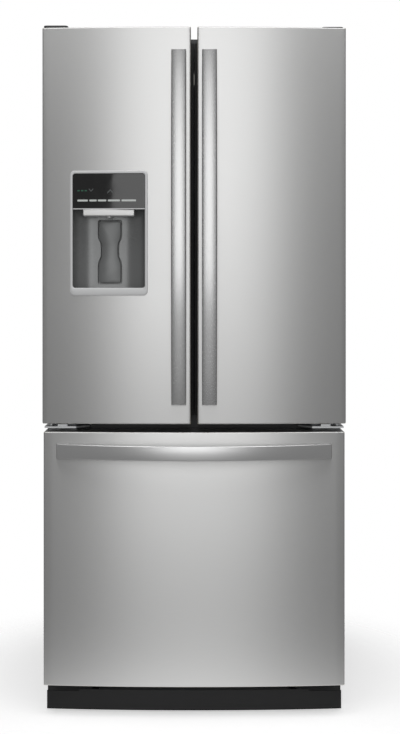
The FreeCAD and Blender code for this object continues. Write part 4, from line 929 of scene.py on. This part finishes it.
bright_trim = paint("bright_trim", (0.66, 0.66, 0.655), 1800.0, roughness=0.3, metallic=0.6, depth=0.00001,
                    spread=0.02)
bar_low, bar_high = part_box("dispenser_nozzle")
bar_bottom = bar_high[2] - 0.017
stations = [(0.0, 0.0030), (0.0006, 0.0012), (0.0020, 0.0)]
far_stations = [(bar_high[0] - bar_low[0] - shift, inset) for shift, inset in reversed(stations)]
rows = []
for shift, inset in stations + far_stations:
    outline = round_loop(bar_low[1] + inset, bar_high[1], bar_bottom + inset, bar_high[2], 0.0, 0.003)
    rows.append([(bar_low[0] + shift, y, z) for y, z, flat in outline])
bar = loft("bar", rows)
spout_x, spout_y = paddle_middle, bar_low[1] + 0.020
rows = []
for radius, z in ((0.0048, bar_bottom - 0.0005), (0.0050, bar_low[2] + 0.0005), (0.0056, bar_low[2]),
                  (0.0070, bar_low[2]), (0.0078, bar_low[2] + 0.0008), (0.0080, bar_bottom + 0.001)):
    rows.append([(spout_x + radius * math.cos(a), spout_y + radius * math.sin(a), z)
                 for a in [math.tau * step / 28 for step in range(28)]])
spout = loft("spout", rows)
place_piece("dispenser_spout_bar", merged("spout_bar", bar, spout), bright_trim, "left_door",
            ["dispenser_nozzle"])
dress(recess_moulding, "drip_tray")

# ------------------------------------------------------------------ handles
# Flat satin bars 36.5 mm wide and 12 mm thick, bowed out from the front, with a solid foot at each end that
# is screwed on from inside the door. The grain runs along the bar.

BAR_WIDTH, BAR_THICK, BAR_ROUND = 0.0365, 0.012, 0.003
BAR_FRONT = -0.423
FOOT, SLANT = 0.034, 0.0035


def bowed_bar(name, half, end_face, foot_back, to_frame):
    """A bar along its own length s from -half to half; to_frame(s, across, depth) gives a point in the frame.
    end_face is the depth of the bar's front at its ends, foot_back the depth that its feet reach."""
    reach = half - SLANT
    rise = end_face - BAR_FRONT
    radius = (reach ** 2 + rise ** 2) / (2 * rise)
    centre = BAR_FRONT + radius
    bends = [reach * math.sin(math.pi / 2 * step / 30) for step in range(-30, 31)]
    near = [side * (half - FOOT + shift) for side in (-1, 1) for shift in (-0.004, 0.0, 0.006)]
    stations = sorted(bends + near)
    rows = []
    for s in stations:
        face = centre - math.sqrt(radius ** 2 - s * s)
        inner = centre - math.sqrt((radius - BAR_THICK) ** 2 - s * s)
        into_foot = min(max((abs(s) - (half - FOOT)) / 0.006, 0.0), 1.0)
        back = inner + (foot_back - inner) * into_foot
        row = []
        for across, deep, start in ((1, 0, 0), (-1, 0, 90), (-1, 1, 180), (1, 1, 270)):
            for step in range(4):
                angle = math.radians(start + 30 * step)
                w = across * (BAR_WIDTH / 2 - BAR_ROUND) + BAR_ROUND * math.cos(angle)
                y = (back - BAR_ROUND if deep else face + BAR_ROUND) - BAR_ROUND * math.sin(angle)
                slant = SLANT * min((y - face) / max(end_face + 0.014 - face, 0.001), 1.0)
                lengthways = s + math.copysign(slant, s) * (abs(s) / reach) ** 24
                row.append(to_frame(lengthways, w, y))
        rows.append(row + row[:1])
    mesh = grid_mesh(name, rows)
    built = bmesh.new()
    built.from_mesh(mesh)
    bmesh.ops.remove_doubles(built, verts=built.verts, dist=1e-6)
    bmesh.ops.holes_fill(built, edges=[e for e in built.edges if e.is_boundary])
    bmesh.ops.recalc_face_normals(built, faces=built.faces)
    built.to_mesh(mesh)
    built.free()
    return mesh


# All three handles are one steel. The upright bars' darker base colour is painted shade and the drawer bar's
# lighter base colour is painted light, for how differently light falls on them.
upright_steel_painted_shade = satin_steel("upright_handle_stainless_painted_shade", (0.56, 0.56, 0.56), 0.26, "z", fine=1.4)
level_steel_painted_light = satin_steel("level_handle_stainless_painted_light", (0.72, 0.72, 0.72), 0.31, "x", fine=1.4)
upright_half, upright_middle, upright_x = 0.4415, 1.2185, 0.038
for side, name in ((-1, "left"), (1, "right")):
    surface = arc_y(upright_x)
    mesh = bowed_bar(f"{name}_bar", upright_half, surface - 0.014, surface + 0.0005,
                     lambda s, w, y: (side * upright_x + w, y, upright_middle + s))
    place_piece(f"{name}_door_bar", mesh, upright_steel_painted_shade, f"{name}_door", [f"{name}_door_handle"])
level_half, level_middle = 0.343, 0.66325
mesh = bowed_bar("drawer_bar", level_half, arc_y(level_half) - 0.014, arc_y(level_half) + 0.0005,
                 lambda s, w, y: (s, y, level_middle + w))
place_piece("drawer_bar", mesh, level_steel_painted_light, "freezer_drawer", ["drawer_handle"])

# ------------------------------------------------------------------ studio
# A pale round floor that fades into a white room, three soft lights in front, one above another, a fourth
# overhead, and a camera three metres in front of the doors, level with the dispenser's ledge.


def soft_light(name, place, aim, width, height, radiance):
    """A rectangular light with a given brightness, turned towards a point."""
    lamp = bpy.data.lights.new(name, "AREA")
    lamp.shape = "RECTANGLE"
    lamp.size, lamp.size_y = width, height
    lamp.energy = radiance * math.pi * width * height
    holder = bpy.data.objects.new(name, lamp)
    holder.location = place
    holder.rotation_euler = (Vector(aim) - Vector(place)).to_track_quat("-Z", "Y").to_euler()
    bpy.context.collection.objects.link(holder)


FLOOR_RADIUS = 0.88
rings = [[(r * math.cos(a), r * math.sin(a), 0.0) for a in [math.tau * step / 96 for step in range(96)]]
         for r in (FLOOR_RADIUS, 0.001)]
floor = bpy.data.objects.new("floor", grid_mesh("floor", rings, caps=((1, False),), ring=True))
bpy.context.collection.objects.link(floor)
pale = Finish("pale_floor", Roughness=0.9, Specular_IOR_Level=0.1, Emission_Color=(1.0, 1.0, 1.0, 1.0),
              Emission_Strength=0.5)
apart = pale.node("ShaderNodeVectorMath", {0: pale.node("ShaderNodeTexCoord", out="Object")}, out="Value",
                  operation="LENGTH")
fade = pale.node("ShaderNodeMapRange", {0: apart, 1: 0.42, 2: FLOOR_RADIUS * 0.97, 3: 1.0, 4: 0.0},
                 interpolation_type="SMOOTHSTEP")
pale.feed(Base_Color=pale.blend(pale.noise(3.0, 4.0), (0.86, 0.86, 0.86), (0.9, 0.9, 0.9)), Alpha=fade)
floor.data.materials.append(pale.material)

room = bpy.data.worlds.new("room")
bpy.context.scene.world = room
room.use_nodes = True
room.node_tree.nodes.clear()
air = Graph(room.node_tree)
seen = air.node("ShaderNodeBackground", {"Color": (1.0, 1.0, 1.0, 1.0)})
lit = air.node("ShaderNodeBackground", {"Color": (1.0, 1.0, 1.0, 1.0), "Strength": 0.24})
to_camera = air.node("ShaderNodeLightPath", out="Is Camera Ray")
mixed = air.node("ShaderNodeMixShader", {0: to_camera, 1: lit, 2: seen})
air.node("ShaderNodeOutputWorld", {"Surface": mixed})

LIGHTS_Y, LIGHTS_WIDE = -5.2, 1.9
for name, level, tall, radiance in (("front_softbox", 1.80, 2.8, 1.62), ("lower_softbox", -0.45, 1.7, 0.38),
                                    ("upper_softbox", 3.85, 1.3, 1.25)):
    soft_light(name, (0.0, LIGHTS_Y, level), (0.0, 0.0, level), LIGHTS_WIDE, tall, radiance)
soft_light("overhead_softbox", (0.0, -1.2, 4.2), (0.0, -0.4, 0.0), 3.4, 2.2, 2.7)

lens = bpy.data.cameras.new("camera")
lens.lens, lens.sensor_width = 59.12, 36.0
lens.shift_x, lens.shift_y = 0.008, -0.105
camera = bpy.data.objects.new("camera", lens)
camera.location = (0.0, -3.355, 1.063)
camera.rotation_euler = (math.pi / 2, 0.0, 0.0)
bpy.context.collection.objects.link(camera)
bpy.context.scene.camera = camera
bpy.context.scene.view_settings.view_transform = "Standard"
